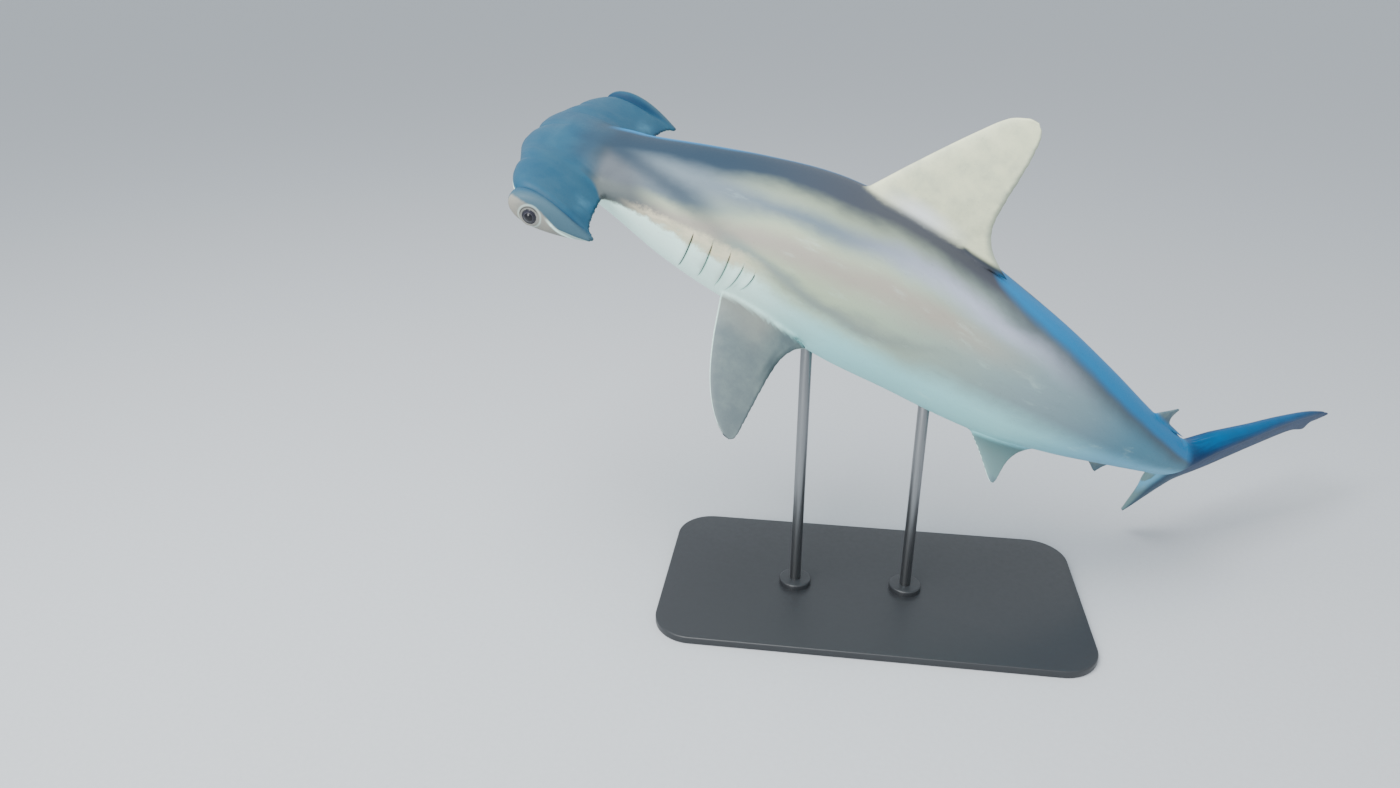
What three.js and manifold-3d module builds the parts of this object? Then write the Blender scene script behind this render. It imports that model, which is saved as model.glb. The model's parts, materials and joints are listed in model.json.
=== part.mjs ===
// A life-size scalloped hammerhead shark, swimming in a slow turn, held by a plain display stand.
// Millimetres, +Z up. The head points along -X, the left side faces -Y, and the stand's underside
// is at Z = 0. The shark is described straight, along its own axis, and then bent into its pose.
// Straight coordinates: x runs from the snout to the tail, y to the shark's left, z to its back.

import * as THREE from 'three';
import { mergeVertices } from 'three/addons/utils/BufferGeometryUtils.js';
import Module from 'manifold-3d';

const wasm = await Module();
wasm.setup();

// The gap that neighbouring pieces keep, and the size below which a cut's crumbs are cleaned away.
const GAP = 0.3;
const CRUMB = 0.06;

// The pose: at each station along the axis, the heading to the right, the dive of the tail below
// the level, and the bank, where a negative bank has the left side down. Angles in degrees.
const POSE = [
  { x: 0, heading: -3, dive: 18.5, bank: -10 },
  { x: 250, heading: -2, dive: 22.5, bank: -11 },
  { x: 500, heading: -1.5, dive: 18.5, bank: -7.5 },
  { x: 750, heading: 2.5, dive: 26, bank: -9 },
  { x: 1000, heading: 3, dive: 32, bank: -19.5 },
  { x: 1250, heading: 18, dive: 32.5, bank: -22.5 },
  { x: 1500, heading: 28.5, dive: 32, bank: -24.5 },
  { x: 1750, heading: 40, dive: 29.5, bank: -26 },
  { x: 2000, heading: 53, dive: 26, bank: -34.5 },
  { x: 2500, heading: 53, dive: 26, bank: -34.5 },
];
const AXIS_STEP = 5;
// The place on the axis that the stand is set out from, and its height above the floor.
const DATUM_X = 750;
const DATUM_HEIGHT = 825;

// The trunk: height of the back and of the belly above and below the axis, and half its width.
const TRUNK = [
  { x: 75, back: 38, belly: 40, half: 90 },
  { x: 125, back: 46, belly: 48, half: 100 },
  { x: 175, back: 61, belly: 57, half: 108 },
  { x: 250, back: 81.5, belly: 79, half: 121 },
  { x: 375, back: 117, belly: 128, half: 136 },
  { x: 500, back: 142, belly: 163.5, half: 144.5 },
  { x: 675, back: 163.5, belly: 196, half: 158 },
  { x: 825, back: 166, belly: 206.5, half: 161 },
  { x: 1000, back: 157, belly: 198, half: 152 },
  { x: 1175, back: 139.5, belly: 177.5, half: 134 },
  { x: 1375, back: 109, belly: 134.5, half: 104 },
  { x: 1550, back: 79, belly: 92, half: 74 },
  { x: 1700, back: 59, belly: 64, half: 51.5 },
  { x: 1800, back: 51.5, belly: 51.5, half: 38.5 },
  { x: 1900, back: 48, belly: 46, half: 30 },
];
// Exponents of the section's upper and lower halves, where 2 is an ellipse.
const BACK_POWER = 1.9;
const BELLY_POWER = 2.1;
const TRUNK_SIDES = 36;
const RING_STEP = 48;
// Where the body is parted into its nodes.
const CUTS = { head: 75, gills: 290, front: 668, rear: 1035, stalk: 1330, caudal: 1745 };

// The hammer, for half the span: leading edge, trailing edge, and half its thickness, each given
// by distance from the midline.
const LEADING_EDGE = [
  [0, 35], [12, 30], [30, 26.5], [58, 27], [80, 31], [106, 40], [132, 49.5], [156, 58],
  [163, 60], [171, 59], [200, 64], [228, 74], [249, 86], [260, 96], [265, 98], [270, 95],
  [278, 92], [292, 93], [300, 96], [306, 102], [311, 113], [313, 125],
];
const TRAILING_EDGE = [
  [0, 285], [100, 285], [118, 262], [126, 240], [140, 229.5], [165, 231], [200, 234.5],
  [232, 239], [262, 246], [280, 256], [293, 266], [300, 262], [306, 245], [311, 215], [313, 190],
];
const HAMMER_THICKNESS = [
  [0, 36], [75, 33], [150, 28.5], [225, 25.5], [260, 26], [285, 29], [300, 28], [306, 25],
  [311, 18], [313, 9],
];
const HAMMER_STATIONS = [
  0, 12, 30, 58, 84, 104, 122, 140, 156, 163, 172, 195, 225, 248, 259, 265, 272, 282, 293, 301,
  307, 311, 313,
];
// Points along a chord crowd towards the leading edge by this power.
const CHORD_POWER = 1.5;
// How the wings sit: half the thickness of the trailing edge, the lift of the outer wing, how much
// it drops for each millimetre behind a place, and over which spans this comes in.
const WING = {
  steps: 12, edge: 1.5, lift: 6, pitch: 0.05, level: 90, tiltFrom: 60, tiltTo: 150,
};
// How the skull's dome runs into the wings: the blend's width, over what share of the chord it
// grows, where it narrows again, and how far the dome is drawn in at the neck.
const DOME = {
  blend: 18, front: 0.25, narrowFrom: 225, narrowTo: 280, narrowed: 0.3, inset: 3, insetFrom: 200,
  insetTo: 260,
};
// The valley that parts the eye's pod from the upper face of the hammer, and its raised crest.
const VALLEY = {
  front: [98, 265], rear: [262, 287], depth: 10, width: 10, crest: 4, crestAway: 1.9, crestWidth: 1,
};

const EYE = {
  x: 145, y: 298.5, z: -1, radius: 20, rimRadius: 17, rimTube: 2.8, rimY: 311.5, rimSides: 18,
  rimRound: 6, around: 18, down: 12,
};
const MOUTH = {
  front: 152, corner: 228, half: 72, lip: 9, lipEnds: 0.55, lipSink: 5.5, lipReach: 1.05, slit: 3.2,
  steps: 12,
};
// The nostril's slit in straight coordinates, its last value the drop from the lower face, and the
// groove that runs inwards from it behind the leading edge.
const NOSTRIL = {
  slit: [[94, 266, 2], [103, 264, -1], [112, 259, 0], [121, 252, 0.5], [129, 244, 2]],
  radius: 4.6, taper: 0.35, grooveRadius: 3.2, grooveTaper: 0.5, grooveFrom: 258, grooveTo: 186,
  grooveBehind: 9, grooveSteps: 6,
};

// Gill slits of one side, front to rear: top and bottom of each, along the axis and in height.
const GILLS = [
  { top: [421, -2], bottom: [410, -98] },
  { top: [463, -7], bottom: [454, -101] },
  { top: [503, -13], bottom: [493, -103] },
  { top: [535, -28], bottom: [518, -100] },
  { top: [561, -36], bottom: [547, -82] },
];
const GILL = {
  depth: 10, width: 5, lean: 3, bow: 2, flap: 24, flapRoot: 4, rise: 3.2, steps: 5, ends: 0.02,
};

// A fin's section: how much of it is wing, and how fast the tip's thickness is reached.
const FIN = { wing: 0.96, taper: 0.7, flareSpan: 0.1, sinkFade: 18, freeBlend: 0.12 };
// Rows of a fin's edges: share of the span, place along the chord, height above the root line.
// A fin's root is flared, and sinks into the trunk ahead of its free rear tip.
const FIRST_DORSAL = {
  leading: [
    [0, 650, 146], [0.05, 672, 163], [0.11, 700, 186], [0.3, 739, 247], [0.5, 774, 310],
    [0.7, 804, 368], [0.85, 824, 407], [0.94, 838, 427], [1, 852, 438],
  ],
  trailing: [
    [0, 1011, 162], [0.06, 983, 174], [0.16, 947, 196], [0.3, 919, 236], [0.45, 907, 290],
    [0.62, 899, 347], [0.8, 889, 403], [0.92, 880, 430], [1, 868, 441],
  ],
  spanSteps: 13, chordSteps: 8, root: 40, tip: 7, flare: 9, sink: 60, insertion: 0.74, edge: 2,
};
const SECOND_DORSAL = {
  leading: [[0, 1554, 68], [0.25, 1574, 85], [0.6, 1592, 100], [1, 1608, 115]],
  trailing: [[0, 1736, 60], [0.12, 1684, 67], [0.35, 1637, 75], [0.65, 1619, 95], [1, 1615, 115]],
  spanSteps: 7, chordSteps: 8, root: 15, tip: 3, flare: 3, sink: 30, insertion: 0.58, edge: 1.5,
};
const ANAL = {
  leading: [[0, 1496, -88], [0.25, 1532, -101], [0.6, 1570, -114], [1, 1601, -126]],
  trailing: [[0, 1708, -73], [0.12, 1670, -79], [0.35, 1633, -86], [0.65, 1616, -107], [1, 1612, -128]],
  spanSteps: 8, chordSteps: 8, root: 16, tip: 3, flare: 3, sink: -26, insertion: 0.6, edge: 1.6,
};
// The paired fins lie in planes of their own, each set by its origin, chord and span directions.
const PECTORAL = {
  origin: [509, 100, -119], chord: [0.985, 0.05, -0.16], span: [-0.11, 0.925, -0.367],
  leading: [
    [0, -14, -30], [0.1, 2, 10], [0.4, 34, 121], [0.6, 57, 186], [0.76, 79, 232], [0.88, 103, 268],
    [0.95, 124, 290], [1, 141, 302],
  ],
  trailing: [
    [0, 226, 6], [0.06, 203, 32], [0.16, 186, 70], [0.3, 178, 120], [0.5, 174, 186], [0.7, 172, 240],
    [0.88, 170, 284], [0.95, 167, 298], [1, 157, 306],
  ],
  spanSteps: 13, chordSteps: 8, root: 34, tip: 5, flare: 8, sink: 45, insertion: 0.66, edge: 2,
};
const PELVIC = {
  origin: [1178, 68.7, -151.5], chord: [0.986, -0.1, 0.095], span: [0.13, 0.94, -0.31],
  leading: [
    [0, -10, -20], [0.15, 4, 6], [0.45, 26, 46], [0.75, 40, 82], [0.92, 48, 103], [1, 53, 110],
  ],
  trailing: [
    [0, 192, -12], [0.1, 160, 2], [0.25, 128, 21], [0.5, 98, 51], [0.75, 78, 83], [0.92, 66, 104],
    [1, 60, 111],
  ],
  spanSteps: 10, chordSteps: 8, root: 18, tip: 4, flare: 4, sink: 28, insertion: 0.7, edge: 1.5,
};

// The tail fin: the stalk's core as it runs out under the upper lobe's edge, and the edges of the
// blade from the lower lobe's tip over the stalk to the upper lobe's tip.
const TAIL_CORE = [
  { x: 1745, height: 54.5, half: 45, top: 57 },
  { x: 1800, height: 50, half: 38.5, top: 60 },
  { x: 1870, height: 38, half: 29, top: 114 },
  { x: 1960, height: 29, half: 21, top: 170 },
  { x: 2080, height: 21, half: 14, top: 231 },
  { x: 2220, height: 12, half: 8, top: 282 },
  { x: 2330, height: 5, half: 4, top: 304 },
];
const TAIL_LEADING = [
  [0, 1900, -202], [0.12, 1868, -176], [0.26, 1812, -116], [0.36, 1768, -64], [0.4, 1764, -30],
  [0.44, 1768, 10], [0.48, 1784, 46], [0.54, 1830, 84], [0.62, 1930, 150], [0.72, 2062, 221],
  [0.82, 2180, 267], [0.92, 2300, 298], [1, 2372, 306],
];
const TAIL_TRAILING = [
  [0, 1912, -207], [0.12, 1926, -172], [0.26, 1930, -112], [0.36, 1940, -66], [0.4, 1962, -46],
  [0.44, 1986, -30], [0.48, 2010, -14], [0.54, 2044, 12], [0.62, 2102, 66], [0.72, 2186, 142],
  [0.82, 2282, 212], [0.864, 2364, 233], [0.909, 2338, 257], [0.95, 2360, 276], [1, 2386, 300],
];
const TAIL = {
  thickness: [[0, 4], [0.2, 9], [0.4, 14], [0.6, 9], [0.85, 6], [1, 3]],
  coreFrom: 1760, coreTo: 1830, coreSteps: 10, spanSteps: 22, chordSteps: 8,
};
// Where the lower lobe is parted from the rest, as a level below the axis, with room to spare.
const LOBE = { level: -58, from: 1700, to: 2100, half: 100, depth: 400, steps: 8 };

// The stand: a flat plate with rounded corners, and a boss and a rod under each of two stations.
const STAND = {
  length: 1000, width: 520, thickness: 18, corner: 90, bevel: 3, cornerSteps: 7, centre: [95, 10],
  bossRadius: 38, bossHeight: 14, bossBevel: 4, bossRoot: 6, bossSides: 24, rodRadius: 13,
  rodSides: 20, rodReach: 40, frontX: 655, rearX: 955,
};

const COLOURS = {
  flank: 0x9aa4a6,
  fin: 0x8d989c,
  eye: 0x23282c,
  stand: 0x2c2f33,
};

const radians = THREE.MathUtils.degToRad;
const clamp = THREE.MathUtils.clamp;
const lerp = THREE.MathUtils.lerp;
const smoothstep = THREE.MathUtils.smoothstep;

// A smooth curve through a table of [position, value] rows that doesn't overshoot them.
function curve(rows) {
  const count = rows.length;
  const slopes = rows.slice(1).map((row, i) => (row[1] - rows[i][1]) / (row[0] - rows[i][0]));
  const tangents = rows.map((row, i) => {
    if (i === 0) return slopes[0];
    if (i === count - 1) return slopes[count - 2];
    const before = slopes[i - 1];
    const after = slopes[i];
    if (before * after <= 0) return 0;
    return (2 * before * after) / (before + after);
  });
  return (position) => {
    const p = clamp(position, rows[0][0], rows[count - 1][0]);
    let i = 0;
    while (i < count - 2 && p > rows[i + 1][0]) i += 1;
    const width = rows[i + 1][0] - rows[i][0];
    const t = (p - rows[i][0]) / width;
    const t2 = t * t;
    const t3 = t2 * t;
    return (2 * t3 - 3 * t2 + 1) * rows[i][1] + (t3 - 2 * t2 + t) * width * tangents[i]
      + (3 * t2 - 2 * t3) * rows[i + 1][1] + (t3 - t2) * width * tangents[i + 1];
  };
}

const column = (table, key) => curve(table.map((row) => [row.x, row[key]]));

// The bent axis: its place and its frame of tail, left and back directions at even steps.
function makeAxis() {
  const heading = column(POSE, 'heading');
  const dive = column(POSE, 'dive');
  const bank = column(POSE, 'bank');
  const frames = [];
  const end = POSE[POSE.length - 1].x;
  for (let x = 0; x <= end; x += AXIS_STEP) {
    const h = radians(heading(x));
    const d = radians(dive(x));
    const b = radians(bank(x));
    const tail = new THREE.Vector3(Math.cos(d) * Math.cos(h), Math.cos(d) * Math.sin(h), -Math.sin(d));
    const level = new THREE.Vector3(Math.sin(h), -Math.cos(h), 0);
    const up = new THREE.Vector3().crossVectors(level, tail);
    const left = level.clone().multiplyScalar(Math.cos(b)).addScaledVector(up, Math.sin(b));
    const back = up.clone().multiplyScalar(Math.cos(b)).addScaledVector(level, -Math.sin(b));
    const place = new THREE.Vector3();
    if (frames.length > 0) {
      const last = frames[frames.length - 1];
      place.copy(last.place).addScaledVector(last.tail, AXIS_STEP / 2);
      place.addScaledVector(tail, AXIS_STEP / 2);
    }
    frames.push({ place, tail, left, back });
  }
  const shift = frames[DATUM_X / AXIS_STEP].place.clone();
  shift.z -= DATUM_HEIGHT;
  frames.forEach((frame) => frame.place.sub(shift));
  return frames;
}
const AXIS = makeAxis();

// The posed place of a point given in straight coordinates.
function posed(x, y, z) {
  const step = clamp(x / AXIS_STEP, 0, AXIS.length - 1.001);
  const i = Math.floor(step);
  const t = step - i;
  const point = new THREE.Vector3();
  [[AXIS[i], 1 - t], [AXIS[i + 1], t]].forEach(([frame, share]) => {
    point.addScaledVector(frame.place, share);
    point.addScaledVector(frame.left, y * share);
    point.addScaledVector(frame.back, z * share);
  });
  return point;
}

// Closed meshes

function solidOf(points, triangles) {
  const build = (faces) => {
    const geometry = new THREE.BufferGeometry().setFromPoints(points);
    geometry.setIndex(faces.flat());
    const merged = mergeVertices(geometry, 1e-4);
    const index = Array.from(merged.index.array);
    const kept = [];
    for (let i = 0; i < index.length; i += 3) {
      const [a, b, c] = index.slice(i, i + 3);
      if (a !== b && b !== c && c !== a) kept.push(a, b, c);
    }
    return new wasm.Manifold(new wasm.Mesh({
      numProp: 3,
      vertProperties: new Float32Array(merged.attributes.position.array),
      triVerts: new Uint32Array(kept),
    }));
  };
  const solid = build(triangles);
  if (solid.volume() > 0) return solid;
  return build(triangles.map(([a, b, c]) => [a, c, b]));
}

function solidOfGeometry(geometry) {
  const bare = geometry.clone();
  bare.deleteAttribute('normal');
  bare.deleteAttribute('uv');
  const merged = mergeVertices(bare, 1e-4);
  const position = merged.attributes.position;
  const points = [];
  for (let i = 0; i < position.count; i += 1) {
    points.push(new THREE.Vector3().fromBufferAttribute(position, i));
  }
  const index = merged.index.array;
  const triangles = [];
  for (let i = 0; i < index.length; i += 3) triangles.push([index[i], index[i + 1], index[i + 2]]);
  return solidOf(points, triangles);
}

// A skin over rings of equal count, closed by a fan at each end.
function loft(rings) {
  const points = rings.flat();
  const n = rings[0].length;
  const last = rings.length - 1;
  const triangles = [];
  for (let i = 0; i < last; i += 1) {
    for (let j = 0; j < n; j += 1) {
      const a = i * n + j;
      const b = i * n + ((j + 1) % n);
      triangles.push([a, b, b + n], [a, b + n, a + n]);
    }
  }
  [[0, 0], [last, 1]].forEach(([ring, flip]) => {
    const centre = new THREE.Vector3();
    rings[ring].forEach((point) => centre.addScaledVector(point, 1 / n));
    points.push(centre);
    const hub = points.length - 1;
    for (let j = 0; j < n; j += 1) {
      const a = ring * n + j;
      const b = ring * n + ((j + 1) % n);
      triangles.push(flip ? [hub, a, b] : [hub, b, a]);
    }
  });
  return solidOf(points, triangles);
}

// A thin body from rows of points on its two faces, both split into triangles alike. The faces
// share their leading edge, and a narrow strip closes the other three.
function blade(rows) {
  const n = rows[0].upper.length;
  const points = rows.flatMap((row) => [...row.upper, ...row.lower]);
  const upper = (i, k) => i * 2 * n + k;
  const lower = (i, k) => (k === 0 ? upper(i, 0) : i * 2 * n + n + k);
  const triangles = [];
  const quad = (a, b, c, d) => triangles.push([a, b, c], [a, c, d]);
  for (let i = 0; i < rows.length - 1; i += 1) {
    for (let k = 0; k < n - 1; k += 1) {
      quad(upper(i, k), upper(i, k + 1), upper(i + 1, k + 1), upper(i + 1, k));
      triangles.push([lower(i, k), lower(i + 1, k + 1), lower(i, k + 1)]);
      triangles.push([lower(i, k), lower(i + 1, k), lower(i + 1, k + 1)]);
    }
    quad(upper(i, n - 1), lower(i, n - 1), lower(i + 1, n - 1), upper(i + 1, n - 1));
  }
  const cap = (i, flip) => {
    for (let k = 0; k < n - 1; k += 1) {
      const faces = [
        [upper(i, k), lower(i, k + 1), upper(i, k + 1)],
        [upper(i, k), lower(i, k), lower(i, k + 1)],
      ];
      faces.filter(([a, b]) => a !== b)
        .forEach(([a, b, c]) => triangles.push(flip ? [a, c, b] : [a, b, c]));
    }
  };
  cap(0, false);
  cap(rows.length - 1, true);
  return solidOf(points, triangles);
}

// A round bar along a list of points, tapered by a radius for each.
function bar(points, radiusAt, sides = 6) {
  const rings = points.map((point, i) => {
    const before = points[Math.max(i - 1, 0)];
    const after = points[Math.min(i + 1, points.length - 1)];
    const along = after.clone().sub(before).normalize();
    const across = new THREE.Vector3(0.3, 0.4, 0.86).cross(along).normalize();
    const third = along.clone().cross(across);
    const radius = radiusAt(i / (points.length - 1));
    return Array.from({ length: sides }, (_, j) => {
      const turn = (2 * Math.PI * j) / sides;
      return point.clone().addScaledVector(across, radius * Math.cos(turn))
        .addScaledVector(third, radius * Math.sin(turn));
    });
  });
  return loft(rings);
}

// The largest closed surface of a solid, as the mesh of a named piece.
function piece(name, solid, colour, roughness = 0.6, metalness = 0) {
  const parts = solid.simplify(CRUMB).decompose().sort((a, b) => b.volume() - a.volume());
  const data = parts[0].getMesh();
  const geometry = new THREE.BufferGeometry();
  geometry.setAttribute('position', new THREE.BufferAttribute(new Float32Array(data.vertProperties), 3));
  geometry.setIndex(new THREE.BufferAttribute(new Uint32Array(data.triVerts), 1));
  const material = new THREE.MeshStandardMaterial({ color: colour, roughness, metalness });
  const mesh = new THREE.Mesh(geometry, material);
  mesh.name = name;
  return mesh;
}

// Trunk

const backAt = column(TRUNK, 'back');
const bellyAt = column(TRUNK, 'belly');
const halfAt = column(TRUNK, 'half');

// Half the width of the trunk at a height above or below the axis.
function widthAt(x, z) {
  const height = z > 0 ? backAt(x) : bellyAt(x);
  const power = z > 0 ? BACK_POWER : BELLY_POWER;
  const share = clamp(Math.abs(z) / height, 0, 1);
  return halfAt(x) * (1 - share ** power) ** (1 / power);
}

function trunkRing(x, grow = 0) {
  return Array.from({ length: TRUNK_SIDES }, (_, j) => {
    const turn = (2 * Math.PI * j) / TRUNK_SIDES;
    const cos = Math.cos(turn);
    const sin = Math.sin(turn);
    const power = 2 / (sin > 0 ? BACK_POWER : BELLY_POWER);
    const height = (sin > 0 ? backAt(x) : bellyAt(x)) + grow;
    const y = Math.sign(cos) * Math.abs(cos) ** power * (halfAt(x) + grow);
    const z = Math.sign(sin) * Math.abs(sin) ** power * height;
    return posed(x, y, z);
  });
}

function trunkLength(from, to, grow = 0) {
  const steps = Math.max(2, Math.round((to - from) / RING_STEP));
  return loft(Array.from({ length: steps + 1 }, (_, i) => trunkRing(lerp(from, to, i / steps), grow)));
}

// What the fins and rods are cut by, so that they end on the trunk's surface.
const clearance = trunkLength(CUTS.head, 1880, GAP * 1.4);

// Head

const leadingAt = curve(LEADING_EDGE);
const trailingAt = curve(TRAILING_EDGE);
const thicknessAt = curve(HAMMER_THICKNESS);
const smoothMax = (a, b, blend) => (a + b + Math.hypot(a - b, blend)) / 2;

// Thickness of a wing section along its chord, 1 at its thickest.
function wingShape(u) {
  return 2.969 * Math.sqrt(u) - 1.26 * u - 3.516 * u ** 2 + 2.843 * u ** 3 - 1.036 * u ** 4;
}

// Height of the head's upper or lower face above or below the axis.
function headHeight(x, y, side) {
  const span = Math.abs(y);
  const u = clamp((x - leadingAt(span)) / (trailingAt(span) - leadingAt(span)), 0, 1);
  const wing = thicknessAt(span) * wingShape(u) + WING.edge * u;
  const height = side > 0 ? backAt(x) : bellyAt(x);
  const half = halfAt(x);
  const inset = DOME.inset * smoothstep(x, DOME.insetFrom, DOME.insetTo);
  const share = span / half;
  const dome = share < 1 ? height * Math.sqrt(1 - share ** 2) - inset : half - span;
  const front = Math.sqrt(clamp(u / DOME.front, 0, 1));
  const narrow = lerp(1, DOME.narrowed, smoothstep(x, DOME.narrowFrom, DOME.narrowTo));
  const drop = WING.lift - WING.pitch * (x - WING.level);
  const tilt = drop * smoothstep(span, WING.tiltFrom, WING.tiltTo);
  const face = smoothMax(wing, dome * front, DOME.blend * front * narrow);
  if (side < 0) return tilt - face;
  return tilt + face - valleyDepth(x, span) * front * wingShape(u);
}

// Depth of the valley beside the eye's pod, negative where its crest rises.
function valleyDepth(x, span) {
  const along = clamp((x - VALLEY.front[0]) / (VALLEY.rear[0] - VALLEY.front[0]), 0, 1);
  const away = (span - lerp(VALLEY.front[1], VALLEY.rear[1], along)) / VALLEY.width;
  const crest = (away - VALLEY.crestAway) / VALLEY.crestWidth;
  const dip = VALLEY.depth * Math.exp(-(away ** 2)) - VALLEY.crest * Math.exp(-(crest ** 2));
  return dip * Math.sin(Math.PI * lerp(0.12, 0.92, along));
}

function makeHammer() {
  const spans = [...HAMMER_STATIONS.slice(1).reverse().map((y) => -y), ...HAMMER_STATIONS];
  const rows = spans.map((y) => {
    const front = leadingAt(Math.abs(y));
    const rear = trailingAt(Math.abs(y));
    const line = (side) => Array.from({ length: WING.steps + 1 }, (_, k) => {
      const x = lerp(front, rear, (k / WING.steps) ** CHORD_POWER);
      return posed(x, y, headHeight(x, y, side));
    });
    return { upper: line(1), lower: line(-1) };
  });
  return blade(rows);
}

function eyeBall(side, grow = 0) {
  const ball = new THREE.SphereGeometry(EYE.radius + grow, EYE.around, EYE.down);
  const centre = posed(EYE.x, EYE.y * side, EYE.z);
  ball.translate(centre.x, centre.y, centre.z);
  return solidOfGeometry(ball);
}

// The lid's raised rim around the eye, in two halves that share their end rings.
function eyeRim(side) {
  const rings = Array.from({ length: EYE.rimSides + 1 }, (_, i) => {
    const turn = (2 * Math.PI * i) / EYE.rimSides;
    return Array.from({ length: EYE.rimRound }, (__, j) => {
      const roll = (2 * Math.PI * j) / EYE.rimRound;
      const reach = EYE.rimRadius + EYE.rimTube * Math.cos(roll);
      const y = EYE.rimY + EYE.rimTube * Math.sin(roll);
      return posed(EYE.x + reach * Math.cos(turn), y * side, EYE.z + reach * Math.sin(turn));
    });
  });
  const middle = EYE.rimSides / 2;
  return loft(rings.slice(0, middle + 1)).add(loft(rings.slice(middle)));
}

// The mouth's line under the head, a little above or below its face.
function mouthPoints(sink, reach) {
  return Array.from({ length: MOUTH.steps + 1 }, (_, i) => {
    const t = lerp(-reach, reach, i / MOUTH.steps);
    const x = lerp(MOUTH.front, MOUTH.corner, t * t);
    const y = MOUTH.half * t;
    return posed(x, y, headHeight(x, y, -1) + sink);
  });
}

function nostrilCut(side) {
  const place = (x, y, rise) => posed(x, y * side, headHeight(x, y, -1) + rise);
  const slit = NOSTRIL.slit.map(([x, y, rise]) => place(x, y, rise));
  const groove = Array.from({ length: NOSTRIL.grooveSteps + 1 }, (_, i) => {
    const y = lerp(NOSTRIL.grooveFrom, NOSTRIL.grooveTo, i / NOSTRIL.grooveSteps);
    return place(leadingAt(y) + NOSTRIL.grooveBehind, y, 0);
  });
  return bar(slit, (t) => NOSTRIL.radius * (1 - NOSTRIL.taper * t))
    .add(bar(groove, (t) => NOSTRIL.grooveRadius * (1 - NOSTRIL.grooveTaper * t)));
}

function makeHead() {
  const lip = (t) => MOUTH.lip * lerp(MOUTH.lipEnds, 1, Math.sin(Math.PI * t));
  let head = makeHammer().add(trunkLength(CUTS.head, CUTS.gills - GAP / 2));
  head = head.add(bar(mouthPoints(MOUTH.lipSink, MOUTH.lipReach), lip));
  head = head.subtract(bar(mouthPoints(-1, 1), () => MOUTH.slit));
  [1, -1].forEach((side) => {
    head = head.add(eyeRim(side)).subtract(nostrilCut(side)).subtract(eyeBall(side, GAP));
  });
  return head;
}

// Gills

// A point near the trunk's side, a given distance out from the surface.
function offSide(x, z, out, side) {
  const y = widthAt(x, z);
  const step = 2;
  const slope = (widthAt(x, z + step) - widthAt(x, z - step)) / (2 * step);
  const length = Math.hypot(1, slope);
  return posed(x, (y + out / length) * side, z - (out * slope) / length);
}

function gillSweep(slit, side, section) {
  const rings = Array.from({ length: GILL.steps + 1 }, (_, i) => {
    const t = lerp(GILL.ends, 1 - GILL.ends, i / GILL.steps);
    const x = lerp(slit.top[0], slit.bottom[0], t) + GILL.bow * Math.sin(Math.PI * t);
    const z = lerp(slit.top[1], slit.bottom[1], t);
    const swell = Math.sqrt(Math.sin(Math.PI * t));
    return section(swell).map(([dx, out]) => offSide(x + dx, z, out, side));
  });
  return loft(rings);
}

// The flap in front of a slit stands a little proud, and the slit leans forward under it.
const gillFlap = (swell) => [
  [-GILL.flap, -GILL.flapRoot], [-GILL.flap * 0.4, GILL.rise * 0.8 * swell], [1, GILL.rise * swell],
  [2, -GILL.flapRoot],
];
const gillSlit = (swell) => [
  [0, GILL.depth], [GILL.width + 3, GILL.depth], [GILL.width * 0.6 + 1, 0],
  [-GILL.lean * swell, -GILL.depth * swell - 1], [-1, 0],
];

function makeGills() {
  let body = trunkLength(CUTS.gills + GAP / 2, CUTS.front - GAP / 2);
  [1, -1].forEach((side) => {
    GILLS.forEach((slit) => {
      body = body.add(gillSweep(slit, side, gillFlap));
    });
    GILLS.forEach((slit) => {
      body = body.subtract(gillSweep(slit, side, gillSlit));
    });
  });
  return body;
}

// Fins

// Half the thickness of a fin along its chord, blunt in front and thin behind.
function finShape(u) {
  return lerp(u, wingShape(u), FIN.wing);
}

// A smooth curve through one column of the rows of a fin's edge.
const edgeCurve = (rows, index) => curve(rows.map((row) => [row[0], row[index]]));

// A fin from its leading and trailing edges, each a smooth curve over the span.
function makeFin(fin, place) {
  const frontX = edgeCurve(fin.leading, 1);
  const frontZ = edgeCurve(fin.leading, 2);
  const rearX = edgeCurve(fin.trailing, 1);
  const rearZ = edgeCurve(fin.trailing, 2);
  const rows = Array.from({ length: fin.spanSteps + 1 }, (_, i) => {
    const v = i / fin.spanSteps;
    const flare = fin.flare * Math.exp(-((v / FIN.flareSpan) ** 2));
    const half = lerp(fin.root, fin.tip, v ** FIN.taper) / 2 + flare;
    const sink = fin.sink * Math.exp(-v * FIN.sinkFade);
    const face = (side) => Array.from({ length: fin.chordSteps + 1 }, (__, k) => {
      const u = (k / fin.chordSteps) ** CHORD_POWER;
      const dip = sink * (1 - smoothstep(u, fin.insertion - FIN.freeBlend, fin.insertion));
      const edge = Math.max(half * finShape(u), k === 0 ? 0 : fin.edge / 2);
      return place(lerp(frontX(v), rearX(v), u), lerp(frontZ(v), rearZ(v), u) - dip, edge * side);
    });
    return { upper: face(1), lower: face(-1) };
  });
  return blade(rows);
}

const onMidline = (x, z, y) => posed(x, y, z);

// Places a fin of a pair by its own chord and span directions from its origin.
function onSide(fin, side) {
  const chord = new THREE.Vector3(...fin.chord).normalize();
  const span = new THREE.Vector3(...fin.span);
  span.addScaledVector(chord, -span.dot(chord)).normalize();
  const normal = new THREE.Vector3().crossVectors(chord, span);
  return (along, across, out) => {
    const point = new THREE.Vector3(...fin.origin).addScaledVector(chord, along)
      .addScaledVector(span, across).addScaledVector(normal, out);
    return posed(point.x, point.y * side, point.z);
  };
}

// Tail

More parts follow.
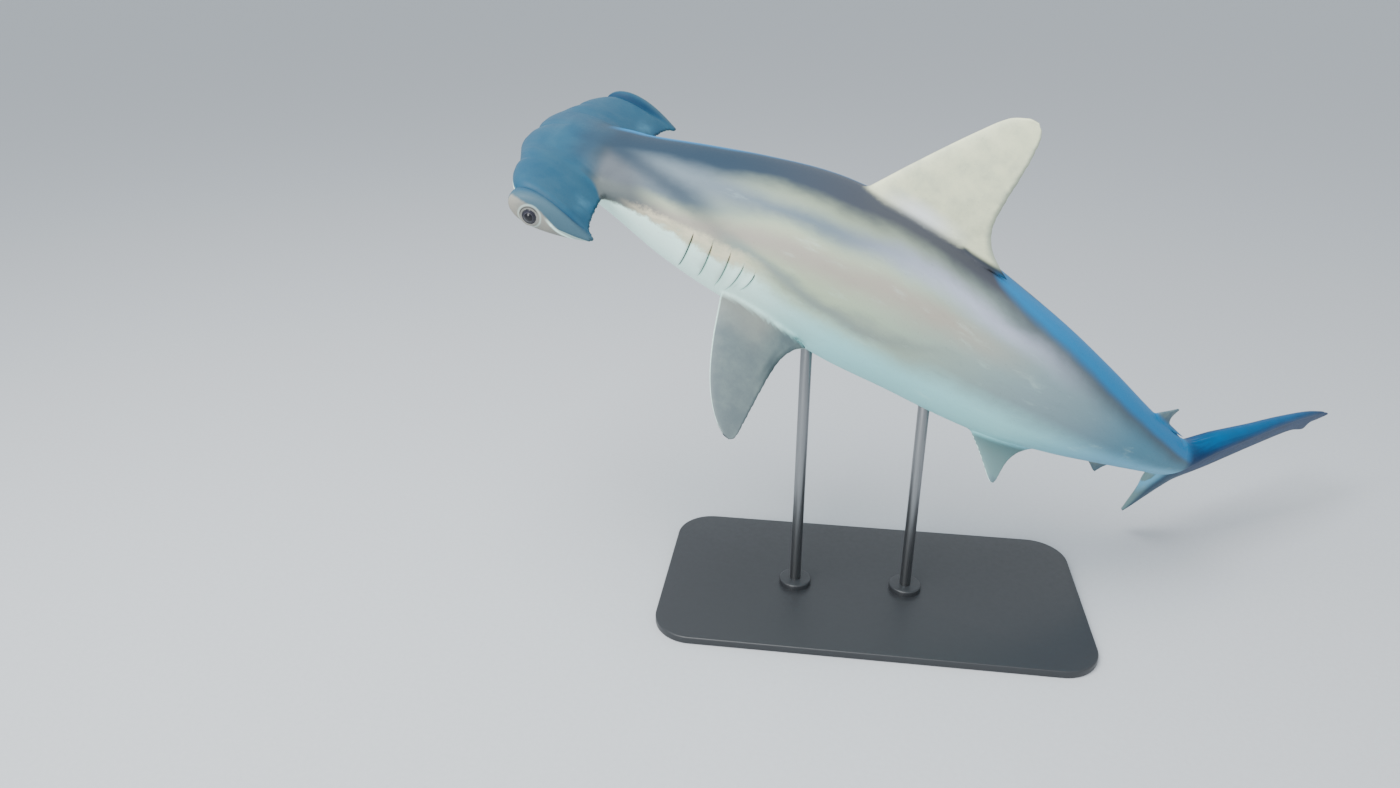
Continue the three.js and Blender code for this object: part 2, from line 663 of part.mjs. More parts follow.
function makeTailCore() {
  const heightAt = column(TAIL_CORE, 'height');
  const coreHalfAt = column(TAIL_CORE, 'half');
  const topAt = column(TAIL_CORE, 'top');
  const start = CUTS.caudal + GAP / 2;
  const end = TAIL_CORE[TAIL_CORE.length - 1].x;
  const rings = Array.from({ length: TAIL.coreSteps + 1 }, (_, i) => {
    const x = lerp(start, end, i / TAIL.coreSteps);
    const share = smoothstep(x, TAIL.coreFrom, TAIL.coreTo);
    return trunkRing(x).map((point, j) => {
      const turn = (2 * Math.PI * j) / TRUNK_SIDES;
      const z = topAt(x) - heightAt(x) + heightAt(x) * Math.sin(turn);
      return point.lerp(posed(x, coreHalfAt(x) * Math.cos(turn), z), share);
    });
  });
  return loft(rings);
}

function makeTailBlade() {
  const thickness = curve(TAIL.thickness);
  const frontX = edgeCurve(TAIL_LEADING, 1);
  const frontZ = edgeCurve(TAIL_LEADING, 2);
  const rearX = edgeCurve(TAIL_TRAILING, 1);
  const rearZ = edgeCurve(TAIL_TRAILING, 2);
  const rows = Array.from({ length: TAIL.spanSteps + 1 }, (_, i) => {
    const v = i / TAIL.spanSteps;
    const face = (side) => Array.from({ length: TAIL.chordSteps + 1 }, (__, k) => {
      const u = (k / TAIL.chordSteps) ** CHORD_POWER;
      const half = Math.max(thickness(v) * finShape(u), k === 0 ? 0 : 1);
      return posed(lerp(frontX(v), rearX(v), u), half * side, lerp(frontZ(v), rearZ(v), u));
    });
    return { upper: face(1), lower: face(-1) };
  });
  return blade(rows);
}

// The room that the lower lobe takes, down from a level below the axis.
function lobeRoom(level) {
  const corners = [[1, level], [1, -LOBE.depth], [-1, -LOBE.depth], [-1, level]];
  return loft(Array.from({ length: LOBE.steps + 1 }, (_, i) => {
    const x = lerp(LOBE.from, LOBE.to, i / LOBE.steps);
    return corners.map(([side, z]) => posed(x, side * LOBE.half, z));
  }));
}

// Stand

function rodPlace(x) {
  const point = posed(x, 0, 0);
  return new THREE.Vector3(point.x, point.y, STAND.thickness);
}

function makeBase() {
  const { length, width, corner, bevel, thickness } = STAND;
  const outline = new THREE.Shape();
  const x = length / 2 - bevel;
  const y = width / 2 - bevel;
  const r = corner - bevel;
  outline.moveTo(-x + r, -y);
  outline.lineTo(x - r, -y);
  outline.absarc(x - r, -y + r, r, -Math.PI / 2, 0, false);
  outline.lineTo(x, y - r);
  outline.absarc(x - r, y - r, r, 0, Math.PI / 2, false);
  outline.lineTo(-x + r, y);
  outline.absarc(-x + r, y - r, r, Math.PI / 2, Math.PI, false);
  outline.lineTo(-x, -y + r);
  outline.absarc(-x + r, -y + r, r, Math.PI, 1.5 * Math.PI, false);
  const plate = new THREE.ExtrudeGeometry(outline, {
    depth: thickness - 2 * bevel,
    bevelThickness: bevel,
    bevelSize: bevel,
    bevelSegments: 1,
    curveSegments: STAND.cornerSteps,
  });
  plate.translate(STAND.centre[0], STAND.centre[1], bevel);
  const { bossRadius, bossHeight, bossBevel, bossRoot } = STAND;
  const profile = [
    [0, -bossRoot], [bossRadius, -bossRoot], [bossRadius, bossHeight - bossBevel],
    [bossRadius - bossBevel, bossHeight], [0, bossHeight],
  ].map(([radius, height]) => new THREE.Vector2(radius, height));
  let base = solidOfGeometry(plate);
  [STAND.frontX, STAND.rearX].forEach((station) => {
    const place = rodPlace(station);
    const boss = new THREE.LatheGeometry(profile, STAND.bossSides);
    boss.rotateX(Math.PI / 2);
    boss.translate(place.x, place.y, thickness);
    base = base.add(solidOfGeometry(boss));
  });
  return base;
}

function makeRod(station) {
  const place = rodPlace(station);
  const bottom = STAND.thickness + STAND.bossHeight + GAP;
  const top = posed(station, 0, -STAND.rodReach).z;
  const { rodRadius, rodSides } = STAND;
  const rod = new THREE.CylinderGeometry(rodRadius, rodRadius, top - bottom, rodSides);
  rod.rotateX(Math.PI / 2);
  rod.translate(place.x, place.y, (top + bottom) / 2);
  return solidOfGeometry(rod).subtract(clearance);
}

// The whole

const shark = new THREE.Group();
const flesh = (name, solid) => shark.add(piece(name, solid, COLOURS.flank, 0.55));
const fin = (name, solid) => shark.add(piece(name, solid.subtract(clearance), COLOURS.fin, 0.6));

flesh('head', makeHead());
flesh('gill_section', makeGills());
flesh('trunk_front', trunkLength(CUTS.front + GAP / 2, CUTS.rear - GAP / 2));
flesh('trunk_rear', trunkLength(CUTS.rear + GAP / 2, CUTS.stalk - GAP / 2));
flesh('tail_stalk', trunkLength(CUTS.stalk + GAP / 2, CUTS.caudal - GAP / 2));
const tail = makeTailCore().add(makeTailBlade());
flesh('caudal_fin_upper', tail.subtract(lobeRoom(LOBE.level + GAP)));
flesh('caudal_fin_lower', tail.intersect(lobeRoom(LOBE.level)));
fin('first_dorsal_fin', makeFin(FIRST_DORSAL, onMidline));
fin('second_dorsal_fin', makeFin(SECOND_DORSAL, onMidline));
fin('anal_fin', makeFin(ANAL, onMidline));
[['left', 1], ['right', -1]].forEach(([name, side]) => {
  fin(`pectoral_fin_${name}`, makeFin(PECTORAL, onSide(PECTORAL, side)));
  fin(`pelvic_fin_${name}`, makeFin(PELVIC, onSide(PELVIC, side)));
  shark.add(piece(`eye_${name}`, eyeBall(side), COLOURS.eye, 0.1));
});
shark.add(piece('stand_base', makeBase(), COLOURS.stand, 0.45, 0.8));
shark.add(piece('stand_rod_front', makeRod(STAND.frontX), COLOURS.stand, 0.35, 0.9));
shark.add(piece('stand_rod_rear', makeRod(STAND.rearX), COLOURS.stand, 0.35, 0.9));

// The origin is the centre of the whole model's box, on the floor.
const box = new THREE.Box3().setFromObject(shark);
const centre = box.getCenter(new THREE.Vector3());
shark.position.set(-centre.x, -centre.y, -box.min.z);
shark.updateMatrixWorld(true);

export default shark;
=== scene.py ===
"""A life-size scalloped hammerhead shark, swimming in a slow turn, on a plain display stand.

The shark's skin is worked out straight, along the animal's own axis, joined into one closed mesh,
and then bent into its pose. Straight places are in millimetres: x from the snout to the tail, y to
the shark's left and z to its back, which mirrors them, so that posed meshes are turned outwards
again. The finished pieces are in metres, in the frame of the solids.
"""

import json
import math

import bmesh
import bpy
import numpy as np
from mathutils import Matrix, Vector
from mathutils.kdtree import KDTree

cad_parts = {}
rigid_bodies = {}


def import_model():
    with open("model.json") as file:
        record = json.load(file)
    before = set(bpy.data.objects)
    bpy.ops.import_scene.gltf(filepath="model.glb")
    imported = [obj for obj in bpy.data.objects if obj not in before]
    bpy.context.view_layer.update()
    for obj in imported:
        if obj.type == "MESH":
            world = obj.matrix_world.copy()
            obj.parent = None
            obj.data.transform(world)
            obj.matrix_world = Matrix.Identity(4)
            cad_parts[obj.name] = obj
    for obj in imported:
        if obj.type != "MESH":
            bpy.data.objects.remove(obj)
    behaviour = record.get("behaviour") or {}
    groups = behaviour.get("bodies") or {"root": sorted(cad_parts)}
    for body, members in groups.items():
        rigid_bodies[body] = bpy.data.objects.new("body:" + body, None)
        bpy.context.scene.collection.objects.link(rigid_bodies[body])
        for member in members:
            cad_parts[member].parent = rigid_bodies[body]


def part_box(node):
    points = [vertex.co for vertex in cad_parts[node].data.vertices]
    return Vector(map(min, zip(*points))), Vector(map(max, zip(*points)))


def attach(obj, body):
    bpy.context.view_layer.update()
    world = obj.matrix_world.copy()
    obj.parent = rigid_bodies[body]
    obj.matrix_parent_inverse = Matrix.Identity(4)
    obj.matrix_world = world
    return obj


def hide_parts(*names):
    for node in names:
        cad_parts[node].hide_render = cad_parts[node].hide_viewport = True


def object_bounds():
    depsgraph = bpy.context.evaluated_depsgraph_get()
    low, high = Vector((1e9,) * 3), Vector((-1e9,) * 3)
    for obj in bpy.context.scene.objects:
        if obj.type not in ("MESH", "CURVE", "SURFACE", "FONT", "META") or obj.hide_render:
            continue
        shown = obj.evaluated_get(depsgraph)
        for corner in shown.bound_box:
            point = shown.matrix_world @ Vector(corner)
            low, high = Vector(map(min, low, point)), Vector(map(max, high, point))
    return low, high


bl_info = {
    "name": "Hammerhead shark on a stand",
    "version": (1, 0, 0),
    "blender": (4, 5, 0),
    "location": "3D View > Sidebar > Shark",
    "description": "Builds the skin and eyes of a hammerhead shark, its stand and a plain studio",
    "category": "Object",
}

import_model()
SOLIDS_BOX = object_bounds()

# The pose: heading to the right, dive of the tail and bank, in degrees, at stations on the axis.
POSE = [
    (0, -3, 18.5, -10), (250, -2, 22.5, -11), (500, -1.5, 18.5, -7.5), (750, 2.5, 26, -9),
    (1000, 3, 32, -19.5), (1250, 18, 32.5, -22.5), (1500, 28.5, 32, -24.5), (1750, 40, 29.5, -26),
    (2000, 53, 26, -34.5), (2500, 53, 26, -34.5),
]
AXIS_STEP = 5
DATUM_X = 750
DATUM_HEIGHT = 825

# The trunk: station, height of the back, depth of the belly and half the width.
TRUNK = [
    (75, 38, 40, 90), (125, 46, 48, 100), (175, 61, 57, 108), (250, 81.5, 79, 121),
    (375, 117, 128, 136), (500, 142, 163.5, 144.5), (675, 163.5, 196, 158), (825, 166, 206.5, 161),
    (1000, 157, 198, 152), (1175, 139.5, 177.5, 134), (1375, 109, 134.5, 104), (1550, 79, 92, 74),
    (1700, 59, 64, 51.5), (1800, 51.5, 51.5, 38.5), (1900, 48, 46, 30),
]
BACK_POWER = 1.9
BELLY_POWER = 2.1

# The hammer, for half the span: leading edge, trailing edge and half its thickness.
LEADING_EDGE = [
    (0, 35), (12, 30), (30, 26.5), (58, 27), (80, 31), (106, 40), (132, 49.5), (156, 58),
    (163, 60), (171, 59), (200, 64), (228, 74), (249, 86), (260, 96), (265, 98), (270, 95),
    (278, 92), (292, 93), (300, 96), (306, 102), (311, 113), (313, 125),
]
TRAILING_EDGE = [
    (0, 285), (100, 285), (118, 262), (126, 240), (140, 229.5), (165, 231), (200, 234.5),
    (232, 239), (262, 246), (280, 256), (293, 266), (300, 262), (306, 245), (311, 215), (313, 190),
]
HAMMER_THICKNESS = [
    (0, 36), (75, 33), (150, 28.5), (225, 25.5), (260, 26), (285, 29), (300, 28), (306, 25),
    (311, 18), (313, 9),
]
# Rows over half of the hammer stand evenly out to a span, and crowd from there to its end.
HAMMER_ROWS = {"even_to": 270, "end": 313, "crowding": 1.8}
# Waves of its worn rear edge, and the span over which they begin.
HAMMER_WEAR = {"length": 3, "height": 2.2, "from": 125, "to": 160}
# Points along a chord crowd to its leading edge by this power.
CHORD_POWER = 1.5
WING = {"edge": 1.5, "lift": 6, "pitch": 0.05, "level": 90, "tilt_from": 60, "tilt_to": 150}
DOME = {
    "blend": 18, "front": 0.25, "narrow_from": 225, "narrow_to": 280, "narrowed": 0.3, "inset": 3,
    "inset_from": 200, "inset_to": 260,
}
VALLEY = {
    "front": (98, 265), "rear": (262, 287), "depth": 10, "width": 10, "crest": 4, "crest_away": 1.9,
    "crest_width": 1, "ends": (0.12, 0.92),
}
EYE = {
    "x": 145, "y": 298.5, "z": -1, "radius": 20, "room": 0.4, "rim_radius": 17, "rim_tube": 2.8,
    "rim_y": 311.5, "rim_sides": 48, "rim_tube_sides": 12, "cornea": 1.4, "cornea_to": 34,
    "segments": 64, "rings": 48,
}
MOUTH = {
    "front": 152, "corner": 228, "half": 72, "lip": 9, "lip_ends": 0.55, "lip_sink": 5.5,
    "lip_reach": 1.05, "slit": 3.2, "slit_share": 0.7, "steps": 40,
}
NOSTRIL = {
    "slit": [(94, 266, 2), (103, 264, -1), (112, 259, 0), (121, 252, 0.5), (129, 244, 2)],
    "radius": 4.6, "taper": 0.35, "groove_radius": 3.2, "groove_taper": 0.5, "groove_from": 258,
    "groove_to": 186, "groove_behind": 9, "steps": 25,
}

# Gill slits of one side: top and bottom of each, along the axis and in height.
GILLS = [
    ((421, -2), (410, -98)), ((463, -7), (454, -101)), ((503, -13), (493, -103)),
    ((535, -28), (518, -100)), ((561, -36), (547, -82)),
]
GILL_BOW = 2
# Rings beside a slit: distance behind it, then shift and height of the surface in its middle.
GILL_PROFILE = [
    (-24, 0, 0), (-16, 0, 0.6), (-10, 0, 1.4), (-6, 0, 2.2), (-3, 0.3, 2.9), (-1.2, 0.8, 3.2),
    (-0.3, 1.2, 2.6), (0.2, 1.0, 1.2), (0.6, -0.6, -3), (1.0, -1.8, -7), (1.6, -0.8, -7.5),
    (2.4, 0, -4), (3.6, 0, -1.4), (5.5, 0, -0.2), (9, 0, 0.2),
]
# The profile's depth, its reach ahead, the lip up to which it is squeezed where the slit ahead is
# close, and the room that the slit ahead takes.
PROFILE_DEPTH = 7.5
PROFILE_REACH = 24
PROFILE_LIP = -1.2
PROFILE_ROOM = 11
# Between these stations the rings follow the slits.
GILL_STATIONS = (384, 586)

FIN = {
    "wing": 0.96, "taper": 0.7, "flare_span": 0.1, "sink_fade": 18, "free_blend": 0.12,
    "fillet_rise": 8,
}
FIRST_DORSAL = {
    "leading": [
        (0, 650, 146), (0.05, 672, 163), (0.11, 700, 186), (0.3, 739, 247), (0.5, 774, 310),
        (0.7, 804, 368), (0.85, 824, 407), (0.94, 838, 427), (1, 852, 438),
    ],
    "trailing": [
        (0, 1011, 162), (0.06, 983, 174), (0.16, 947, 196), (0.3, 919, 236), (0.45, 907, 290),
        (0.62, 899, 347), (0.8, 889, 403), (0.92, 880, 430), (1, 868, 441),
    ],
    "root": 40, "tip": 7, "flare": 9, "sink": 60, "insertion": 0.74, "edge": 2,
    "fray": 0.7,
}
SECOND_DORSAL = {
    "leading": [(0, 1554, 68), (0.25, 1574, 85), (0.6, 1592, 100), (1, 1608, 115)],
    "trailing": [
        (0, 1736, 60), (0.12, 1684, 67), (0.35, 1637, 75), (0.65, 1619, 95), (1, 1615, 115),
    ],
    "root": 15, "tip": 3, "flare": 3, "sink": 30, "insertion": 0.58, "edge": 1.5,
    "fray": 0.4,
}
ANAL = {
    "leading": [(0, 1496, -88), (0.25, 1532, -101), (0.6, 1570, -114), (1, 1601, -126)],
    "trailing": [
        (0, 1708, -73), (0.12, 1670, -79), (0.35, 1633, -86), (0.65, 1616, -107), (1, 1612, -128),
    ],
    "root": 16, "tip": 3, "flare": 3, "sink": -26, "insertion": 0.6, "edge": 1.6,
    "fray": 0.4,
}
PECTORAL = {
    "origin": (509, 100, -119), "chord": (0.985, 0.05, -0.16), "span": (-0.11, 0.925, -0.367),
    "leading": [
        (0, -14, -30), (0.1, 2, 10), (0.4, 34, 121), (0.6, 57, 186), (0.76, 79, 232),
        (0.88, 103, 268), (0.95, 124, 290), (1, 141, 302),
    ],
    "trailing": [
        (0, 226, 6), (0.06, 203, 32), (0.16, 186, 70), (0.3, 178, 120), (0.5, 174, 186),
        (0.7, 172, 240), (0.88, 170, 284), (0.95, 167, 298), (1, 157, 306),
    ],
    "root": 34, "tip": 5, "flare": 8, "sink": 45, "insertion": 0.66, "edge": 2,
    "fray": 0.9,
}
PELVIC = {
    "origin": (1178, 68.7, -151.5), "chord": (0.986, -0.1, 0.095), "span": (0.13, 0.94, -0.31),
    "leading": [
        (0, -10, -20), (0.15, 4, 6), (0.45, 26, 46), (0.75, 40, 82), (0.92, 48, 103), (1, 53, 110),
    ],
    "trailing": [
        (0, 192, -12), (0.1, 160, 2), (0.25, 128, 21), (0.5, 98, 51), (0.75, 78, 83),
        (0.92, 66, 104), (1, 60, 111),
    ],
    "root": 18, "tip": 4, "flare": 4, "sink": 28, "insertion": 0.7, "edge": 1.5,
    "fray": 0.4,
}

# The tail's core: station, height, half the width and the level of its top.
TAIL_CORE = [
    (1745, 54.5, 45, 57), (1800, 50, 38.5, 60), (1870, 38, 29, 114), (1960, 29, 21, 170),
    (2080, 21, 14, 231), (2220, 12, 8, 282), (2330, 5, 4, 304),
]
TAIL_LEADING = [
    (0, 1900, -202), (0.12, 1868, -176), (0.26, 1812, -116), (0.36, 1768, -64), (0.4, 1764, -30),
    (0.44, 1768, 10), (0.48, 1784, 46), (0.54, 1830, 84), (0.62, 1930, 150), (0.72, 2062, 221),
    (0.82, 2180, 267), (0.92, 2300, 298), (1, 2372, 306),
]
TAIL_TRAILING = [
    (0, 1912, -207), (0.12, 1926, -172), (0.26, 1930, -112), (0.36, 1940, -66), (0.4, 1962, -46),
    (0.44, 1986, -30), (0.48, 2010, -14), (0.54, 2044, 12), (0.62, 2102, 66), (0.72, 2186, 142),
    (0.82, 2282, 212), (0.864, 2364, 233), (0.909, 2338, 257), (0.95, 2360, 276), (1, 2386, 300),
]
TAIL_THICKNESS = [(0, 4), (0.2, 9), (0.4, 14), (0.6, 9), (0.85, 6), (1, 3)]
CORE_FROM = 1760
CORE_TO = 1830

# Muscles of the trunk: lift, station and half length, then middle and half height in degrees.
JAW_MUSCLE = (5, 238, 62, 8, 42)
GILL_MUSCLE = (3, 480, 120, -18, 30)
# The hollow behind the jaw, along which its shade is painted too: its middle by station and degrees,
# and its lift and extent.
JAW_BAND = [(180, 66), (240, 56), (300, 43), (400, 27), (480, 13), (600, 0)]
JAW_HOLLOW = {"lift": -3, "half_turn": 13, "x": 360, "half": 140}
# The pits ahead of the tail fin, above and below: lift, station, and degrees from and to.
PITS = ((-7, 1738, 55, 80), (-3, 1744, -60, -80))
PIT_HALF = 17
# Waves of a worn edge: height, pace and start.
RIPPLE = ((0.5, 1.7, 0), (0.3, 0.73, 2), (0.2, 2.9, 0))

# A direction that no bar of the head runs along.
ASKEW = (0.3, 0.4, 0.86)

# Points closer than this, in metres, are one point; and how finely places tell old points from new.
SAME_POINT = 1e-7
POINT_KEYS = 1e5

# Seams between the skin's parts: how far they are softened, in metres, and in how many passes.
SEAMS = {"tail": (0.012, 10), "hammer": (0.014, 16), "lip": (0.006, 8), "lid": (0.007, 12)}
# The same for a fin, for each millimetre of its root's fillet.
FIN_SEAM = (0.0008, 10)
SOFTENING = 0.6

# The stand: the middle of its plate, before the whole is centred, and its sizes.
STAND_CENTRE = (95, 10)
PLATE = {
    "length": 1000, "width": 520, "thickness": 18, "corner": 90, "corner_steps": 20, "edge": 3,
    "edge_steps": 4, "roughness": 0.4,
}
BOSS = {"radius": 38, "height": 14, "edge": 4, "edge_steps": 5, "sunk": 6, "sides": 96}
ROD = {
    "radius": 13, "stations": {"front": 655, "rear": 955}, "inside": 14, "edge": 0.8,
    "edge_steps": 2, "sides": 64,
}
# Edges turned further than the first angle are bevelled, and up to the second shaded smooth.
SHARP = math.radians(60)
SMOOTH = math.radians(40)

# The masks that the skin's colours are told by, in millimetres of the straight shark.
MASKS = {
    "least_thickness": 14, "lid_from": 285, "no_lid": 100, "lid_lean": (0.5, 0.86),
    "lid_top": (-0.1, 0.6), "rim": (16, 2), "rim_to": 160, "valley": (0.55, 1.5),
    "valley_fade": (1.1, 0.5), "valley_to": 280, "fin": (0.5, 12), "fin_from": 330,
    "tail": (1745, 1790), "tail_level": (60, -20), "tail_fade": 50,
    "gill_stations": (390, 580), "gill_top": 10, "gill_span": 60, "gill_depth": (-0.6, -2.2),
    "carved_to": 290, "carved": 0.8, "carved_fade": (1.2, 1.0),
}
FIN_KINDS = ("dorsal", "small", "pectoral", "pelvic", "tail")

# The studio, in metres: lamps with their place, size and share of the key light, and the camera
# with its place from the datum, its angles in degrees, and its focal length and frame in pixels.
FLOOR = {"size": 160, "roughness": 0.8}
SKY = (0.86, 0.93, 1.0, 1)
LAMPS = (("key", (-1.6, -1.6, 4.2), 3.0, 1), ("fill", (-4.3, -9.6, 3.4), 4.0, 1.86))
LAMP_TARGET = (-0.2, 0, 0.8)
CAMERA = {
    "place": (-0.0432, -1.9897, 0.6225), "azimuth": 8, "dip": 25, "sensor": 36, "focal": 971.8,
    "width": 1400,
}

FLESH_NODES = (
    "head", "gill_section", "trunk_front", "trunk_rear", "tail_stalk", "caudal_fin_upper",
    "caudal_fin_lower", "first_dorsal_fin", "second_dorsal_fin", "anal_fin", "pectoral_fin_left",
    "pectoral_fin_right", "pelvic_fin_left", "pelvic_fin_right",
)


# Curves and the bent axis

def curve(rows, column=1):
    """A smooth curve through rows of (place, value) that doesn't overshoot them."""
    place = np.array([row[0] for row in rows], float)
    value = np.array([row[column] for row in rows], float)
    slopes = np.diff(value) / np.diff(place)
    tangents = np.concatenate([slopes[:1], np.zeros(len(place) - 2), slopes[-1:]])
    for i in range(1, len(place) - 1):
        before, after = slopes[i - 1], slopes[i]
        if before * after > 0:
            tangents[i] = 2 * before * after / (before + after)

    def at(position):
        p = np.clip(np.asarray(position, float), place[0], place[-1])
        i = np.clip(np.searchsorted(place, p, side="right") - 1, 0, len(place) - 2)
        width = place[i + 1] - place[i]
        t = (p - place[i]) / width
        return (
            (2 * t**3 - 3 * t**2 + 1) * value[i] + (t**3 - 2 * t**2 + t) * width * tangents[i]
            + (3 * t**2 - 2 * t**3) * value[i + 1] + (t**3 - t**2) * width * tangents[i + 1]
        )

    return at


def smoothstep(low, high, value):
    t = np.clip((np.asarray(value, float) - low) / (high - low), 0, 1)
    return t * t * (3 - 2 * t)


def lerp(a, b, t):
    return a + (b - a) * t


def make_axis():
    """The axis as rows of place, left direction and back direction, at even steps."""
    heading, dive, bank = (curve(POSE, column) for column in (1, 2, 3))
    places, lefts, backs = [], [], []
    place = np.zeros(3)
    last = None
    for x in range(0, POSE[-1][0] + 1, AXIS_STEP):
        h, d, b = (math.radians(float(f(x))) for f in (heading, dive, bank))
        tail = np.array([math.cos(d) * math.cos(h), math.cos(d) * math.sin(h), -math.sin(d)])
        level = np.array([math.sin(h), -math.cos(h), 0.0])
        up = np.cross(level, tail)
        if last is not None:
            place = place + (last + tail) * AXIS_STEP / 2
        last = tail
        places.append(place)
        lefts.append(level * math.cos(b) + up * math.sin(b))
        backs.append(up * math.cos(b) - level * math.sin(b))
    places = np.array(places)
    places -= places[DATUM_X // AXIS_STEP] - np.array([0, 0, DATUM_HEIGHT])
    low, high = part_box("stand_base")
    middle = (np.array(low) + np.array(high)) * 500
    places += np.array([middle[0] - STAND_CENTRE[0], middle[1] - STAND_CENTRE[1], 0])
    return places / 1000, np.array(lefts) / 1000, np.array(backs) / 1000


AXIS_PLACE, AXIS_LEFT, AXIS_BACK = make_axis()


def posed(x, y, z):
    """Places in metres of points given in straight millimetres."""
    x, y, z = np.broadcast_arrays(*(np.asarray(v, float) for v in (x, y, z)))
    step = np.clip(x / AXIS_STEP, 0, len(AXIS_PLACE) - 1.001)
    i = np.floor(step).astype(int)
    t = (step - i)[..., None]
    ahead = AXIS_PLACE[i] + AXIS_LEFT[i] * y[..., None] + AXIS_BACK[i] * z[..., None]
    behind = AXIS_PLACE[i + 1] + AXIS_LEFT[i + 1] * y[..., None] + AXIS_BACK[i + 1] * z[..., None]
    return ahead * (1 - t) + behind * t


back_at = curve(TRUNK, 1)
belly_at = curve(TRUNK, 2)
half_at = curve(TRUNK, 3)
leading_at = curve(LEADING_EDGE)
trailing_at = curve(TRAILING_EDGE)
hammer_half_at = curve(HAMMER_THICKNESS)


# Meshes

def new_piece(name, points, faces):
    """A closed mesh object with its faces turned outwards."""
    mesh = bpy.data.meshes.new(name)
    mesh.from_pydata([tuple(p) for p in points], [], faces)
    shape = bmesh.new()
    shape.from_mesh(mesh)
    bmesh.ops.remove_doubles(shape, verts=shape.verts, dist=SAME_POINT)
    bmesh.ops.recalc_face_normals(shape, faces=shape.faces)
    shape.to_mesh(mesh)
    shape.free()
    piece = bpy.data.objects.new(name, mesh)
    bpy.context.scene.collection.objects.link(piece)
    return piece


def ring_skin(name, rings, looped=False):
    """A skin over an array of rings, looped into itself or closed by a fan at each end."""
    count, sides = rings.shape[:2]
    points = list(rings.reshape(-1, 3))
    faces = []
    for i in range(count if looped else count - 1):
        here, ahead = i * sides, (i + 1) % count * sides
        for j in range(sides):
            k = (j + 1) % sides
            faces.append((here + j, here + k, ahead + k, ahead + j))
    for ring in () if looped else (0, count - 1):
        points.append(rings[ring].mean(axis=0))
        hub = len(points) - 1
        start = ring * sides
        faces += [(hub, start + j, start + (j + 1) % sides) for j in range(sides)]
    return new_piece(name, points, faces)


def blade_skin(name, upper, lower):
    """A thin body from two arrays of rows that share their first column, the leading edge."""
    rows, columns = upper.shape[:2]
    points = list(upper.reshape(-1, 3)) + list(lower.reshape(-1, 3))
    total = rows * columns

    def top(i, k):
        return i * columns + k

    def under(i, k):
        return top(i, 0) if k == 0 else total + i * columns + k

    faces = []
    for i in range(rows - 1):
        for k in range(columns - 1):
            faces.append((top(i, k), top(i, k + 1), top(i + 1, k + 1), top(i + 1, k)))
            faces.append((under(i, k), under(i + 1, k), under(i + 1, k + 1), under(i, k + 1)))
        faces.append((
            top(i, columns - 1), under(i, columns - 1), under(i + 1, columns - 1),
            top(i + 1, columns - 1),
        ))
    for i in (0, rows - 1):
        for k in range(columns - 1):
            cap = [top(i, k), top(i, k + 1), under(i, k + 1)]
            if k:
                cap.append(under(i, k))
            faces.append(tuple(cap))
    used = sorted({index for face in faces for index in face})
    order = {index: n for n, index in enumerate(used)}
    return new_piece(
        name, [points[index] for index in used],
        [tuple(order[index] for index in face) for face in faces],
    )


def choose(piece):
    """Selects one piece alone and makes it the active one."""
    for other in bpy.context.view_layer.objects:
        other.select_set(False)
    bpy.context.view_layer.objects.active = piece
    piece.select_set(True)


def boolean(piece, other, operation):
    choose(piece)
    modifier = piece.modifiers.new(operation.lower(), "BOOLEAN")
    modifier.operation = operation
    modifier.solver = "MANIFOLD"
    modifier.object = other
    bpy.ops.object.modifier_apply(modifier=modifier.name)
    bpy.data.meshes.remove(other.data)


def coordinates(mesh):
    co = np.empty(len(mesh.vertices) * 3, np.float32)
    mesh.vertices.foreach_get("co", co)
    return co.reshape(-1, 3).astype(float)


def move_points(mesh, co):
    mesh.vertices.foreach_set("co", co.astype(np.float32).ravel())
    mesh.update()


def store(mesh, name, values, kind="FLOAT", key="value"):
    """Keeps a value for each point under a name that materials read."""
    layer = mesh.attributes.new(name, kind, "POINT")
    layer.data.foreach_set(key, values.astype(np.float32).ravel())


def point_tree(points):
    """A tree that finds the nearest of the points."""
    tree = KDTree(len(points))
    for index, point in enumerate(points):
        tree.insert(point, index)
    tree.balance()
    return tree


def keys_of(co):
    return [tuple(row) for row in np.round(co * POINT_KEYS).astype(np.int64)]


def merge(skin, part, reach=0.0, passes=0):
    """Joins a part to the skin and softens the seam that this makes, out to a reach in metres."""
    known = set(keys_of(coordinates(skin.data)) + keys_of(coordinates(part.data)))
    boolean(skin, part, "UNION")
    if passes:
        co = coordinates(skin.data)
        seam = np.array([key not in known for key in keys_of(co)])
        soften(skin.data, co, seam, reach, passes)


def soften(mesh, co, seam, reach, passes):
    """Relaxes a mesh near its marked points."""
    if not seam.any():
        raise RuntimeError("the parts don't meet, so there is no seam to soften")
    tree = point_tree(co[seam])
    low, high = co[seam].min(0) - reach, co[seam].max(0) + reach
    near = np.flatnonzero(((co > low) & (co < high)).all(1))
    weight = np.zeros(len(co))
    for index in near:
        weight[index] = max(0.0, 1 - tree.find(co[index])[2] / reach)
    weight = smoothstep(0, 1, weight)[:, None] * SOFTENING
    edges = np.empty(len(mesh.edges) * 2, np.int32)
    mesh.edges.foreach_get("vertices", edges)
    edges = edges.reshape(-1, 2)
    edges = edges[(weight[edges[:, 0], 0] > 0) | (weight[edges[:, 1], 0] > 0)]
    counts = np.bincount(edges.ravel(), minlength=len(co)).astype(float)
    counts[counts == 0] = 1
    for _ in range(passes):
        total = np.zeros_like(co)
        np.add.at(total, edges[:, 0], co[edges[:, 1]])
        np.add.at(total, edges[:, 1], co[edges[:, 0]])
        co = co + (total / counts[:, None] - co) * weight
    move_points(mesh, co)


